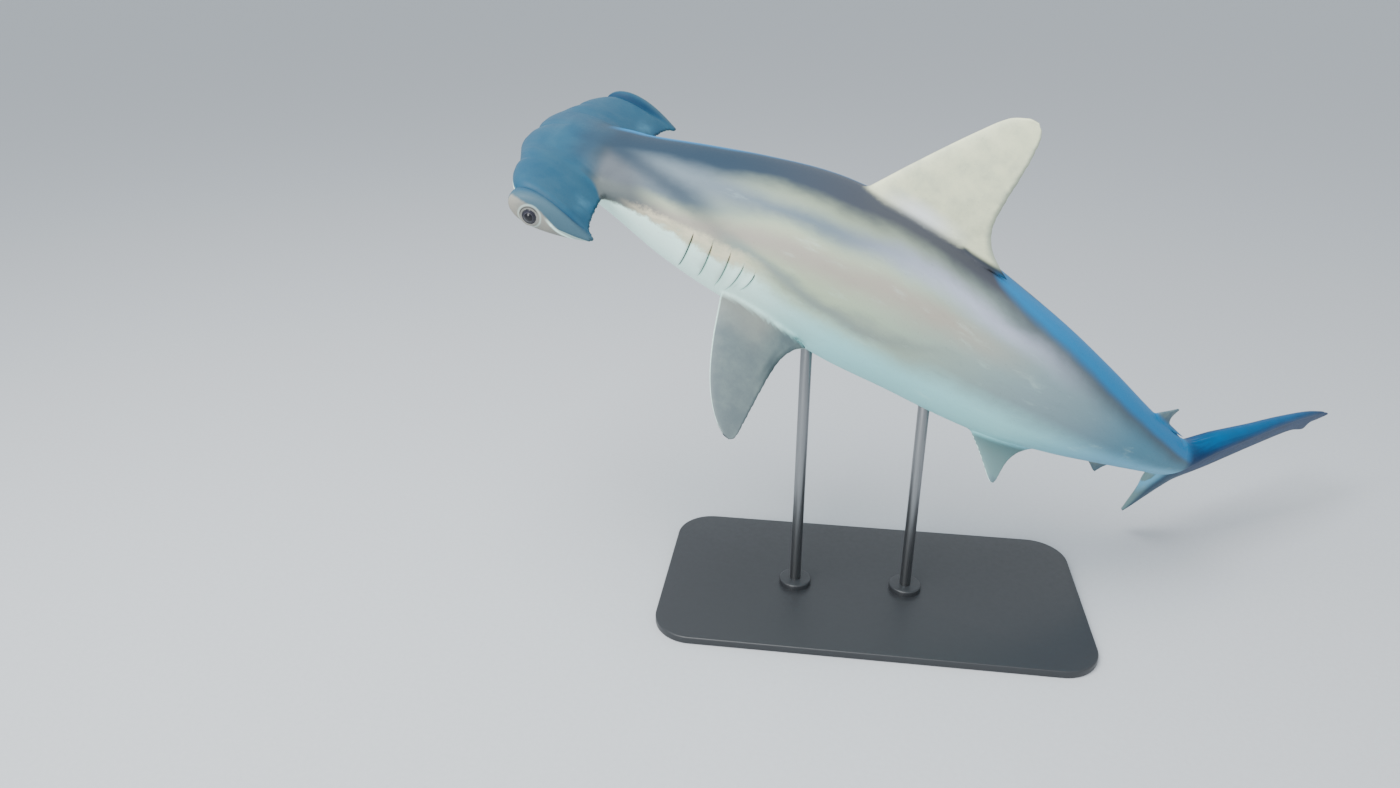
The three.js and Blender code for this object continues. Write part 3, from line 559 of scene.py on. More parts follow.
# The trunk with its gill slits, and the core of the tail

def trunk_section(x, turn):
    """Straight y and z of the trunk's surface at a station and a turn around it."""
    cos, sin = np.cos(turn), np.sin(turn)
    power = 2 / np.where(sin > 0, BACK_POWER, BELLY_POWER)
    height = np.where(sin > 0, back_at(x), belly_at(x))
    y = np.sign(cos) * np.abs(cos) ** power * half_at(x)
    z = np.sign(sin) * np.abs(sin) ** power * height
    return y, z


def bell(value, centre, half):
    """1 at the centre, easing to 0 at half a width on either side."""
    return smoothstep(1, 0, np.abs(value - centre) / half)


def turn_of(x, y, z):
    """Degrees up around the trunk from its side, where 90 is the ridge of the back."""
    height = np.where(z > 0, back_at(x), belly_at(x))
    power = np.where(z > 0, BACK_POWER, BELLY_POWER)
    rise = np.sign(z) * np.abs(z / height) ** (power / 2)
    return np.degrees(np.arctan2(rise, np.abs(y / half_at(x)) ** (power / 2)))


def relief(x, y, z):
    """How far muscles and hollows lift the trunk's surface, in millimetres."""
    turn = turn_of(x, y, z)

    def muscle(lift, station, half, middle, half_turn):
        return lift * bell(x, station, half) * bell(turn, middle, half_turn)

    middle = curve(JAW_BAND)(x)
    hollow = JAW_HOLLOW["lift"] * bell(turn, middle, JAW_HOLLOW["half_turn"])
    hollow = hollow * bell(x, JAW_HOLLOW["x"], JAW_HOLLOW["half"])
    pits = sum(
        lift * bell(x, station, PIT_HALF) * smoothstep(low, high, turn)
        for lift, station, low, high in PITS
    )
    return muscle(*JAW_MUSCLE) + hollow + muscle(*GILL_MUSCLE) + pits


def gill_line(slit, z):
    """Station of a gill slit at a height, and how far between its ends that height is."""
    (top_x, top_z), (bottom_x, bottom_z) = slit
    t = np.clip((top_z - z) / (top_z - bottom_z), 0, 1)
    return lerp(top_x, bottom_x, t) + GILL_BOW * np.sin(np.pi * t), t


def trunk_rings(step):
    """The trunk's rings: a plain one is its station, and one beside a slit its slit and profile."""
    rings = []

    def plain(low, high):
        count = max(1, round((high - low) / step))
        rings.extend(low + (high - low) * i / count for i in range(count))

    plain(TRUNK[0][0], GILL_STATIONS[0])
    for index, slit in enumerate(GILLS):
        room = PROFILE_REACH
        if index:
            before = GILLS[index - 1]
            room = min(slit[0][0] - before[0][0], slit[1][0] - before[1][0]) - PROFILE_ROOM
        squeeze = min(1, room / PROFILE_REACH)
        for behind, shift, rise in GILL_PROFILE:
            behind = behind * squeeze if behind < PROFILE_LIP else behind
            rings.append((slit, behind, shift, rise))
    plain(GILL_STATIONS[1], CORE_FROM)
    plain(CORE_FROM, TAIL_CORE[-1][0] + 1)
    rings.append(TAIL_CORE[-1][0])
    return rings


def make_trunk(settings):
    sides = settings.trunk_sides
    turn = 2 * np.pi * np.arange(sides) / sides
    core_height, core_half, core_top = (curve(TAIL_CORE, column) for column in (1, 2, 3))
    depth = settings.gill_depth * 1000 / PROFILE_DEPTH
    rows = []
    for ring in trunk_rings(settings.ring_step * 1000):
        if not isinstance(ring, tuple):
            x = np.full(sides, float(ring))
            y, z = trunk_section(x, turn)
            share = smoothstep(CORE_FROM, CORE_TO, x)
            middle = core_top(x) - core_height(x)
            y = lerp(y, core_half(x) * np.cos(turn), share)
            z = lerp(z, middle + core_height(x) * np.sin(turn), share)
        else:
            slit, behind, shift, rise = ring
            x = np.full(sides, float(slit[0][0]))
            for _ in range(3):
                y, z = trunk_section(x, turn)
                line, t = gill_line(slit, z)
                x = line + behind
            swell = np.sqrt(np.clip(np.sin(np.pi * t), 0, 1))
            x = line + behind + shift * swell
            y, z = trunk_section(x, turn)
            rise = rise * (depth if rise < 0 else 1)
            away = np.stack([y / half_at(x) ** 2, z / belly_at(x) ** 2])
            away = away / np.linalg.norm(away, axis=0)
            y = y + away[0] * rise * swell
            z = z + away[1] * rise * swell
        lift = relief(x, y, z) / np.maximum(np.hypot(y, z), 1)
        y, z = y * (1 + lift), z * (1 + lift)
        rows.append(np.stack([x, y, z], axis=-1) / 1000)
    return ring_skin("trunk", np.array(rows))


# The head

def wing_shape(u):
    """Thickness of a wing section along its chord, 1 at its thickest."""
    return 2.969 * np.sqrt(u) - 1.26 * u - 3.516 * u**2 + 2.843 * u**3 - 1.036 * u**4


def smooth_max(a, b, blend):
    return (a + b + np.hypot(a - b, blend)) / 2


def valley_place(x, span):
    """Share of the way along the valley beside the eye's pod, and distance from it in widths."""
    (front_x, front_y), (rear_x, rear_y) = VALLEY["front"], VALLEY["rear"]
    along = np.clip((x - front_x) / (rear_x - front_x), 0, 1)
    return along, (span - lerp(front_y, rear_y, along)) / VALLEY["width"]


def valley_depth(x, span):
    """Depth of that valley, negative where its crest rises."""
    along, away = valley_place(x, span)
    crest = (away - VALLEY["crest_away"]) / VALLEY["crest_width"]
    dip = VALLEY["depth"] * np.exp(-away**2) - VALLEY["crest"] * np.exp(-crest**2)
    return dip * np.sin(np.pi * lerp(*VALLEY["ends"], along))


def head_height(x, y, side):
    """Height of the head's upper or lower face above or below the axis."""
    x, y = np.broadcast_arrays(np.asarray(x, float), np.asarray(y, float))
    span = np.abs(y)
    u = np.clip((x - leading_at(span)) / (trailing_at(span) - leading_at(span)), 0, 1)
    wing = hammer_half_at(span) * wing_shape(u) + WING["edge"] * u
    height = back_at(x) if side > 0 else belly_at(x)
    half = half_at(x)
    inset = DOME["inset"] * smoothstep(DOME["inset_from"], DOME["inset_to"], x)
    share = np.clip(span / half, 0, 1)
    dome = np.where(span < half, height * np.sqrt(1 - share**2) - inset, half - span)
    front = np.sqrt(np.clip(u / DOME["front"], 0, 1))
    narrow = lerp(1, DOME["narrowed"], smoothstep(DOME["narrow_from"], DOME["narrow_to"], x))
    drop = WING["lift"] - WING["pitch"] * (x - WING["level"])
    tilt = drop * smoothstep(WING["tilt_from"], WING["tilt_to"], span)
    face = smooth_max(wing, dome * front, DOME["blend"] * front * narrow)
    if side < 0:
        return tilt - face
    return tilt + face - valley_depth(x, span) * front * wing_shape(u)


def make_hammer(settings):
    even_to, end = HAMMER_ROWS["even_to"], HAMMER_ROWS["end"]
    inner = np.linspace(0, even_to, settings.hammer_stations)
    ahead = 1 - np.linspace(0, 1, settings.hammer_stations // 3)
    outer = end - (end - even_to) * ahead ** HAMMER_ROWS["crowding"]
    half = np.unique(np.concatenate([inner, outer]))
    spans = np.concatenate([-half[:0:-1], half])
    u = np.linspace(0, 1, settings.hammer_chord + 1) ** CHORD_POWER
    y = np.repeat(spans[:, None], len(u), axis=1)
    worn = smoothstep(HAMMER_WEAR["from"], HAMMER_WEAR["to"], np.abs(y))
    rear = ripple(y / HAMMER_WEAR["length"], HAMMER_WEAR["height"]) * worn
    rear = trailing_at(np.abs(y)) + rear
    x = lerp(leading_at(np.abs(y)), rear, u[None, :])
    faces = [np.stack([x, y, head_height(x, y, side)], axis=-1) / 1000 for side in (1, -1)]
    return blade_skin("hammer", *faces)


def bar_skin(name, points, radii, sides=12):
    """A round bar along straight points, with a radius for each."""
    points = np.asarray(points, float)
    along = np.gradient(points, axis=0)
    along /= np.linalg.norm(along, axis=1)[:, None]
    across = np.cross(np.array(ASKEW), along)
    across /= np.linalg.norm(across, axis=1)[:, None]
    third = np.cross(along, across)
    turn = 2 * np.pi * np.arange(sides) / sides
    cos, sin = np.cos(turn)[None, :, None], np.sin(turn)[None, :, None]
    ring = across[:, None] * cos + third[:, None] * sin
    rings = points[:, None] + ring * np.asarray(radii, float)[:, None, None]
    return ring_skin(name, rings / 1000)


def mouth_points(sink, reach):
    t = np.linspace(-reach, reach, MOUTH["steps"] + 1)
    x = lerp(MOUTH["front"], MOUTH["corner"], t * t)
    y = MOUTH["half"] * t
    return np.stack([x, y, head_height(x, y, -1) + sink], axis=-1)


def make_lid(side):
    """The raised rim around an eye."""
    turn = 2 * np.pi * np.arange(EYE["rim_sides"]) / EYE["rim_sides"]
    roll = 2 * np.pi * np.arange(EYE["rim_tube_sides"]) / EYE["rim_tube_sides"]
    reach = EYE["rim_radius"] + EYE["rim_tube"] * np.cos(roll)
    y = (EYE["rim_y"] + EYE["rim_tube"] * np.sin(roll)) * side
    rings = np.stack([
        EYE["x"] + reach[None, :] * np.cos(turn)[:, None],
        np.repeat(y[None, :], len(turn), axis=0),
        EYE["z"] + reach[None, :] * np.sin(turn)[:, None],
    ], axis=-1)
    return ring_skin("lid", rings / 1000, looped=True)


def eye_ball(name, side, radius):
    """A ball with its poles to the sides, at the eye's straight place."""
    bpy.ops.object.select_all(action="DESELECT")
    bpy.ops.mesh.primitive_uv_sphere_add(
        segments=EYE["segments"], ring_count=EYE["rings"], radius=radius / 1000,
        location=(EYE["x"] / 1000, EYE["y"] * side / 1000, EYE["z"] / 1000),
        rotation=(math.pi / 2, 0, 0),
    )
    ball = bpy.context.view_layer.objects.active
    ball.name = name
    bpy.ops.object.transform_apply(location=True, rotation=True, scale=True)
    return ball


def make_nostril(side):
    def place(x, y, rise):
        return (x, y * side, float(head_height(x, y, -1)) + rise)

    rows = np.array(NOSTRIL["slit"], float)
    ticks = np.linspace(0, 1, NOSTRIL["steps"])
    knots = np.linspace(0, 1, len(rows))
    slit = [
        place(*(float(curve(list(zip(knots, rows[:, c])))(t)) for c in range(3))) for t in ticks
    ]
    slit_radii = NOSTRIL["radius"] * (1 - NOSTRIL["taper"] * ticks)
    spans = lerp(NOSTRIL["groove_from"], NOSTRIL["groove_to"], ticks)
    groove = [place(float(leading_at(y)) + NOSTRIL["groove_behind"], y, 0) for y in spans]
    radii = NOSTRIL["groove_radius"] * (1 - NOSTRIL["groove_taper"] * ticks)
    return (np.array(slit), slit_radii), (np.array(groove), radii)


def carve_head(skin):
    """Adds the lips and lids, and cuts the mouth, nostrils and eye sockets."""
    t = np.linspace(0, 1, MOUTH["steps"] + 1)
    lip = MOUTH["lip"] * lerp(MOUTH["lip_ends"], 1, np.sin(np.pi * t))
    lip_bar = bar_skin("lip", mouth_points(MOUTH["lip_sink"], MOUTH["lip_reach"]), lip, 20)
    merge(skin, lip_bar, *SEAMS["lip"])
    cuts = [(mouth_points(-1, 1), np.full(len(t), MOUTH["slit"] * MOUTH["slit_share"]))]
    for side in (1, -1):
        cuts += make_nostril(side)
    for line, radii in cuts:
        boolean(skin, bar_skin("cut", line, radii, 16), "DIFFERENCE")
    for side in (1, -1):
        merge(skin, make_lid(side), *SEAMS["lid"])
        boolean(skin, eye_ball("socket", side, EYE["radius"] + EYE["room"]), "DIFFERENCE")
    # The cut lines and their radii, near which a shade is painted.
    return [
        (*(point / 1000), radius / 1000)
        for line, radii in cuts for point, radius in zip(line, radii)
    ]


# Fins

class Chart:
    """Where a fin's points lie on it: along its chord, over its span, and on which face."""

    def __init__(self, faces, u, v):
        u, v = np.broadcast_arrays(u, v)
        self.points = np.concatenate([face.reshape(-1, 3) for face in faces])
        self.chord = np.tile(u.ravel(), 2)
        self.span = np.tile(v.ravel(), 2)
        self.face = np.repeat([1.0, -1.0], u.size)


def fin_shape(u):
    return lerp(u, wing_shape(u), FIN["wing"])


def ripple(place, height):
    """A small, uneven waviness for an edge that is a little worn."""
    return height * sum(share * np.sin(place * pace + start) for share, pace, start in RIPPLE)


def trunk_distance(x, y, z):
    """Rough distance out from the trunk's surface, in millimetres."""
    height = np.where(z > 0, back_at(x), belly_at(x))
    power = np.where(z > 0, BACK_POWER, BELLY_POWER)
    share = (np.abs(y / half_at(x)) ** power + np.abs(z / height) ** power) ** (1 / power)
    return (1 - 1 / np.maximum(share, 1e-6)) * np.hypot(y, z)


def make_fin(name, fin, place, rows, columns, fillet):
    """A fin from its leading and trailing edges, each a smooth curve over the span."""
    v = np.linspace(0, 1, rows + 1)[:, None]
    u = np.linspace(0, 1, columns + 1)[None, :] ** CHORD_POWER
    front_x, front_z = curve(fin["leading"], 1)(v), curve(fin["leading"], 2)(v)
    rear_x, rear_z = curve(fin["trailing"], 1)(v), curve(fin["trailing"], 2)(v)
    rear_x = rear_x + ripple(v * rows, fin["fray"])
    flare = fin["flare"] * np.exp(-((v / FIN["flare_span"]) ** 2))
    half = lerp(fin["root"], fin["tip"], v ** FIN["taper"]) / 2 + flare
    free = smoothstep(fin["insertion"] - FIN["free_blend"], fin["insertion"], u)
    dip = fin["sink"] * np.exp(-v * FIN["sink_fade"]) * (1 - free)
    along = lerp(front_x, rear_x, u)
    across = lerp(front_z, rear_z, u) - dip
    edge = np.maximum(half * fin_shape(u), fin["edge"] / 2)
    straight = place(along, across, 0)
    near = np.clip(1 - trunk_distance(*straight) / fillet, 0, 1)
    swell = fillet * (1 - np.sqrt(1 - near**2)) * (1 - free)
    edge = edge + swell * np.minimum(1, u * FIN["fillet_rise"])
    edge[:, 0] = 0
    faces = [np.stack(place(along, across, edge * side), axis=-1) / 1000 for side in (1, -1)]
    return blade_skin(name, *faces), Chart(faces, u, v)


def on_midline(x, z, y):
    x, y, z = np.broadcast_arrays(x, y, z)
    return x, y, z


def on_side(fin, side):
    """Places a fin of a pair by its own chord and span directions from its origin."""
    chord = np.array(fin["chord"], float)
    chord /= np.linalg.norm(chord)
    span = np.array(fin["span"], float)
    span -= chord * span.dot(chord)
    span /= np.linalg.norm(span)
    normal = np.cross(chord, span)

    def place(along, across, out):
        along, across, out = np.broadcast_arrays(along, across, out)
        point = (
            np.array(fin["origin"], float) + chord * along[..., None] + span * across[..., None]
            + normal * out[..., None]
        )
        return point[..., 0], point[..., 1] * side, point[..., 2]

    return place


def make_tail_blade(settings):
    v = np.linspace(0, 1, settings.tail_rows + 1)[:, None]
    u = np.linspace(0, 1, settings.fin_chord + 1)[None, :] ** CHORD_POWER
    half = np.maximum(curve(TAIL_THICKNESS)(v) * fin_shape(u), 1)
    half[:, 0] = 0
    x = lerp(curve(TAIL_LEADING, 1)(v), curve(TAIL_TRAILING, 1)(v), u)
    z = lerp(curve(TAIL_LEADING, 2)(v), curve(TAIL_TRAILING, 2)(v), u)
    x = x + ripple(v * settings.tail_rows, 1.0) * u
    faces = [np.stack([x, half * side, z], axis=-1) / 1000 for side in (1, -1)]
    return blade_skin("tail_blade", *faces), Chart(faces, u, v)


# Materials

def rgba(colour):
    return (colour[0], colour[1], colour[2], 1.0)


class Nodes:
    """Builds a material's nodes with short calls."""

    def __init__(self, name, colours=None):
        self.colours = colours
        self.material = bpy.data.materials.new(name)
        self.material.use_nodes = True
        self.tree = self.material.node_tree
        self.tree.nodes.clear()
        output = self.tree.nodes.new("ShaderNodeOutputMaterial")
        self.shader = self.tree.nodes.new("ShaderNodeBsdfPrincipled")
        self.link(self.shader.outputs[0], output.inputs[0])

    def link(self, source, target):
        self.tree.links.new(source, target)

    def set(self, socket, value):
        if isinstance(value, bpy.types.NodeSocket):
            self.link(value, socket)
        elif value is not None:
            socket.default_value = value

    def colour(self, name):
        return rgba(getattr(self.colours, name))

    def mask(self, name, output="Fac"):
        """One of the values that the mesh keeps for each of its points."""
        node = self.tree.nodes.new("ShaderNodeAttribute")
        node.attribute_name = name
        return node.outputs[output]

    def math(self, operation, a, b=None, c=None, clamp=False):
        node = self.tree.nodes.new("ShaderNodeMath")
        node.operation = operation
        node.use_clamp = clamp
        for socket, value in zip(node.inputs, (a, b, c)):
            self.set(socket, value)
        return node.outputs[0]

    def minus(self, a, b):
        return self.math("SUBTRACT", a, b)

    def scaled(self, value, share, base):
        """A share of a value, added to a base."""
        return self.math("MULTIPLY_ADD", value, share, base)

    def step(self, low, high, value):
        """0 below low and 1 above high, smooth between them."""
        node = self.tree.nodes.new("ShaderNodeMapRange")
        node.interpolation_type = "SMOOTHSTEP"
        self.set(node.inputs["Value"], value)
        node.inputs["From Min"].default_value = low
        node.inputs["From Max"].default_value = high
        return node.outputs["Result"]

    def bell(self, value, centre, half):
        """1 at the centre, easing to 0 at half a width on either side."""
        away = self.math("ABSOLUTE", self.minus(value, centre))
        return self.step(1, 0, self.math("DIVIDE", away, half))

    def product(self, *values):
        total = values[0]
        for value in values[1:]:
            total = self.math("MULTIPLY", total, value)
        return total

    def table(self, value, rows):
        """A smooth curve over rows of (value, result)."""
        values, results = zip(*rows)
        low, width = min(values), max(values) - min(values)
        floor, height = min(results), max(max(results) - min(results), 1e-6)
        node = self.tree.nodes.new("ShaderNodeFloatCurve")
        line = node.mapping.curves[0]
        places = [((v - low) / width, (r - floor) / height) for v, r in rows]
        line.points[0].location = places[0]
        line.points[1].location = places[-1]
        for place in places[1:-1]:
            line.points.new(*place)
        node.mapping.update()
        share = self.math("DIVIDE", self.minus(value, low), width, clamp=True)
        self.set(node.inputs["Value"], share)
        return self.scaled(node.outputs[0], height, floor)

    def mix(self, share, a, b):
        node = self.tree.nodes.new("ShaderNodeMix")
        node.data_type = "RGBA"
        # a mix node keeps its sockets for single values and vectors before those for colours
        for socket, value in ((0, share), (6, a), (7, b)):
            self.set(node.inputs[socket], value)
        return node.outputs[2]

    def tint(self, tone, name, *shares):
        """Lays a named colour over a tone, by the product of its shares."""
        return self.mix(self.product(*shares), tone, self.colour(name))

    def noise(self, vector, scale, detail=3.0, roughness=0.5):
        node = self.tree.nodes.new("ShaderNodeTexNoise")
        self.set(node.inputs["Vector"], vector)
        node.inputs["Scale"].default_value = scale
        node.inputs["Detail"].default_value = detail
        node.inputs["Roughness"].default_value = roughness
        return node.outputs["Fac"]

    def mottle(self, *pattern):
        """Noise that swings evenly about zero."""
        return self.minus(self.noise(*pattern), 0.5)

    def object_place(self):
        return self.tree.nodes.new("ShaderNodeTexCoord").outputs["Object"]

    def stretch(self, vector, scale):
        node = self.tree.nodes.new("ShaderNodeMapping")
        self.set(node.inputs["Vector"], vector)
        node.inputs["Scale"].default_value = scale
        return node.outputs["Vector"]

    def bump(self, height, strength, distance):
        node = self.tree.nodes.new("ShaderNodeBump")
        node.inputs["Strength"].default_value = strength
        node.inputs["Distance"].default_value = distance
        self.set(node.inputs["Height"], height)
        self.link(node.outputs[0], self.shader.inputs["Normal"])

    def finish(self, tone, roughness, specular=None, metallic=None):
        for name, value in (
            ("Base Color", tone), ("Roughness", roughness), ("Specular IOR Level", specular),
            ("Metallic", metallic),
        ):
            self.set(self.shader.inputs[name], value)
        return self.material


# Edges and middles of the skin's bands, as rows of station and degrees around the trunk, and the
# least width of the blue rim light painted along the back.
RIM_LIGHT_EDGE = [
    (100, 108), (200, 108), (300, 104), (450, 99), (620, 102), (900, 104), (960, 96), (1010, 82),
    (1100, 72), (1200, 64), (1300, 58), (1400, 52), (1500, 47), (1600, 42), (1800, 26),
]
RIM_LIGHT_LEAST = 34
SLATE_EDGE = [
    (100, 20), (170, 40), (250, 62), (320, 63), (420, 60), (600, 56), (800, 58), (900, 62),
    (1000, 66), (1100, 60), (1250, 50), (1400, 40), (1500, 34), (1800, 10),
]
SILVER_SHEEN_LINE = [
    (200, 64), (300, 56), (400, 47), (600, 41), (800, 46), (950, 53), (1150, 51), (1350, 38),
]
TAN_LINE = [(200, -4), (300, 4), (450, 10), (600, 15), (800, 19), (1000, 31), (1250, 40)]
DUSK_LINE = [(440, 14), (520, 4), (620, -6), (760, -9), (900, -2), (1010, 12), (1200, 16)]
BELLY_EDGE = [
    (180, -22), (225, -13), (262, -5), (340, -4), (440, -8), (560, -11), (700, -19), (900, -16),
    (1080, -6), (1200, -7), (1400, -10), (1600, -14), (1800, -8),
]
# How far those edges fade or wander, in degrees, how strong the slate is, and half the width of
# the shade painted along the hollow behind the jaw, by station.
SLATE_FADE = [(0, 9), (350, 12), (900, 16), (1800, 18)]
SLATE_SHARE = [(0, 1), (1000, 1), (1500, 0.9), (1750, 0.6)]
JAW_SHADE_HALF = [(150, 16), (300, 19), (520, 13)]
BELLY_WANDER = [(0, 6), (220, 9), (330, 18), (450, 18), (620, 8), (1800, 4)]
BELLY_FADE = [(0, 3), (460, 3.5), (620, 9), (1800, 13)]
# Height of the eye surround's upper edge, and where the hammer leaves the trunk, by station.
POD_EDGE = [(85, 12), (100, 19), (120, 22), (150, 20), (170, 13), (190, 3), (220, -7), (265, -12)]
SHOULDER = [(0, 112), (190, 118), (232, 150), (300, 190)]


def trunk_tone(m, along, turn, straight):
    """Colour of the trunk: bands that run along it, in degrees above or below its side, among them a
    painted blue rim light, sheen, highlight and shade.
    """
    broad = m.mottle(m.stretch(straight, (0.55, 1, 1)), 9, 4, 0.6)
    wavy = m.scaled(broad, 22, turn)
    streaks = m.mottle(m.stretch(straight, (0.25, 1, 1)), 46, 5, 0.65)
    # Silver on the upper front flank and in its band below: partly the flank's own pale tone, partly
    # a painted sheen.
    tone = m.tint(m.colour("flank"), "silver_and_sheen", m.step(600, 380, along), m.step(14, 30, wavy))
    tone = m.tint(tone, "rear_flank", m.step(600, 1250, along))
    tone = m.tint(tone, "stalk", m.step(1200, 1560, along))

    silver_and_sheen = m.tint(m.colour("silver_and_sheen"), "rear_silver_and_sheen", m.step(620, 950, along))
    for line, colour, half, fade in (
        (TAN_LINE, m.colour("tan"), 19, (230, 330, 900, 1200)),
        (SILVER_SHEEN_LINE, silver_and_sheen, 17, (220, 330, 1050, 1350)),
        (DUSK_LINE, m.colour("dusk"), 9, (440, 520, 800, 1100)),
    ):
        low, rise, fall, high = fade
        band = m.bell(wavy, m.table(along, line), half)
        share = m.product(band, m.step(low, rise, along), m.step(high, fall, along))
        tone = m.mix(share, tone, colour)

    above = m.minus(wavy, m.table(along, SLATE_EDGE))
    slate = m.step(-1, 1, m.math("DIVIDE", above, m.table(along, SLATE_FADE)))
    dark = m.tint(m.colour("slate"), "mauve", m.step(380, 820, along))
    tone = m.mix(m.product(slate, m.table(along, SLATE_SHARE)), tone, dark)
    jaw = m.product(m.step(400, 300, m.scaled(turn, 1.6, along)), m.step(-20, 0, turn))
    tone = m.tint(tone, "jaw", jaw, m.step(66, 56, wavy), 0.92)
    # Painted shade: a dark band along the hollow behind the jaw.
    band = m.bell(wavy, m.table(along, JAW_BAND), m.table(along, JAW_SHADE_HALF))
    tone = m.tint(tone, "slate", band, m.step(160, 220, along), m.step(540, 340, along), 0.85)
    # Painted shade in the crease where the hammer meets the neck.
    crease_shade_and_dark_edges = m.bell(m.scaled(broad, 40, along), 180, 34)
    tone = m.tint(tone, "crease_shade_and_dark_edges", crease_shade_and_dark_edges, m.step(80, 50, turn), 0.85)

    wander = m.product(m.mottle(straight, 38, 5, 0.75), m.table(along, BELLY_WANDER))
    wander = m.scaled(broad, 10, wander)
    below = m.minus(m.table(along, BELLY_EDGE), m.math("ADD", turn, wander))
    belly = m.step(-1, 1, m.math("DIVIDE", below, m.table(along, BELLY_FADE)))
    # Painted highlight: a cream glow along the throat's upper border, broken into streaks.
    border_highlight = m.product(m.bell(below, -5, 9), m.step(250, 330, along), m.step(620, 480, along))
    belly_tone = m.tint(m.colour("belly"), "rear_belly", m.step(1150, 1550, along))
    pale = m.mix(m.step(480, 800, along), m.colour("throat"), belly_tone)
    tone = m.mix(belly, tone, pale)
    tone = m.tint(tone, "border_highlight", border_highlight, m.scaled(m.step(-0.25, 0.1, streaks), 0.5, 0.4))

    # Painted light: a blue rim light along the back, on its right side at the front, widening over
    # both sides towards the tail.
    over = m.mask("over")
    edge = m.table(along, RIM_LIGHT_EDGE)
    blue = m.step(-6, 8, m.minus(m.scaled(broad, 10, over), edge))
    far = m.math("MAXIMUM", m.minus(180, edge), m.math("ADD", edge, RIM_LIGHT_LEAST))
    rim_light = m.product(blue, m.step(6, -8, m.minus(over, far)), m.step(-30, -14, turn))
    tone = m.tint(tone, "blue_rim_light", rim_light, 0.95)
    tone = m.tint(tone, "mauve", m.step(0.05, 0.3, streaks), 0.12)
    glints = m.product(m.step(-0.05, -0.3, streaks), m.step(0, -20, above))
    return m.tint(tone, "throat", glints, m.step(360, 520, along), 0.18)


def hammer_tone(m, along, across, straight):
    """Colour of the hammer: blue above with pale rims and a painted shade in the groove beside each
    eye, pale below, and warm around the eyes.
    """
    level = m.mask("level")
    broad = m.mottle(straight, 16, 4, 0.6)
    top = m.tint(m.colour("head"), "head_dark", m.step(-0.25, 0.3, broad))
    inner = m.step(105, 160, m.scaled(broad, 40, along))
    top = m.tint(top, "slate", m.step(130, 70, across), inner, 0.7)
    sheen = m.product(m.bell(across, 205, 60), m.bell(along, 208, 26))
    top = m.tint(top, "sheen", sheen, m.step(-0.1, 0.15, broad), 0.75)
    # Painted shade in the groove beside each eye.
    top = m.tint(top, "groove", m.mask("valley"), 0.9)
    rim = m.product(m.bell(level, 0.05, 0.55), m.step(0.4, 1, m.mask("rim")))
    top = m.tint(top, "sheen", rim, 0.6)
    tone = m.tint(top, "throat", m.step(-0.05, -0.4, m.scaled(broad, 0.5, level)))

    edge = m.minus(m.table(along, POD_EDGE), m.scaled(broad, 10, m.mask("height")))
    tone = m.tint(tone, "pod_top", m.step(284, 300, across), 0.6)
    pod = m.step(293, 303, across)
    mottled = m.tint(m.colour("pod"), "pod_top", m.step(-0.2, 0.25, broad), 0.4)
    tone = m.mix(m.product(pod, m.step(-3, 3, edge)), tone, mottled)
    tone = m.tint(tone, "throat", pod, m.bell(edge, 3, 5), m.step(170, 190, along), 0.9)

    lid = m.mask("lid")
    tone = m.tint(tone, "throat", m.bell(lid, 22, 3), 0.25)
    # Painted shadow of the upper lid: a dark crescent above and ahead of the eye.
    tone = m.tint(tone, "eye", m.bell(lid, 18.4, 2.2), m.mask("lid_top"), 0.8)
    return m.tint(tone, "ring", m.bell(lid, 15.2, 1.5), 0.35)


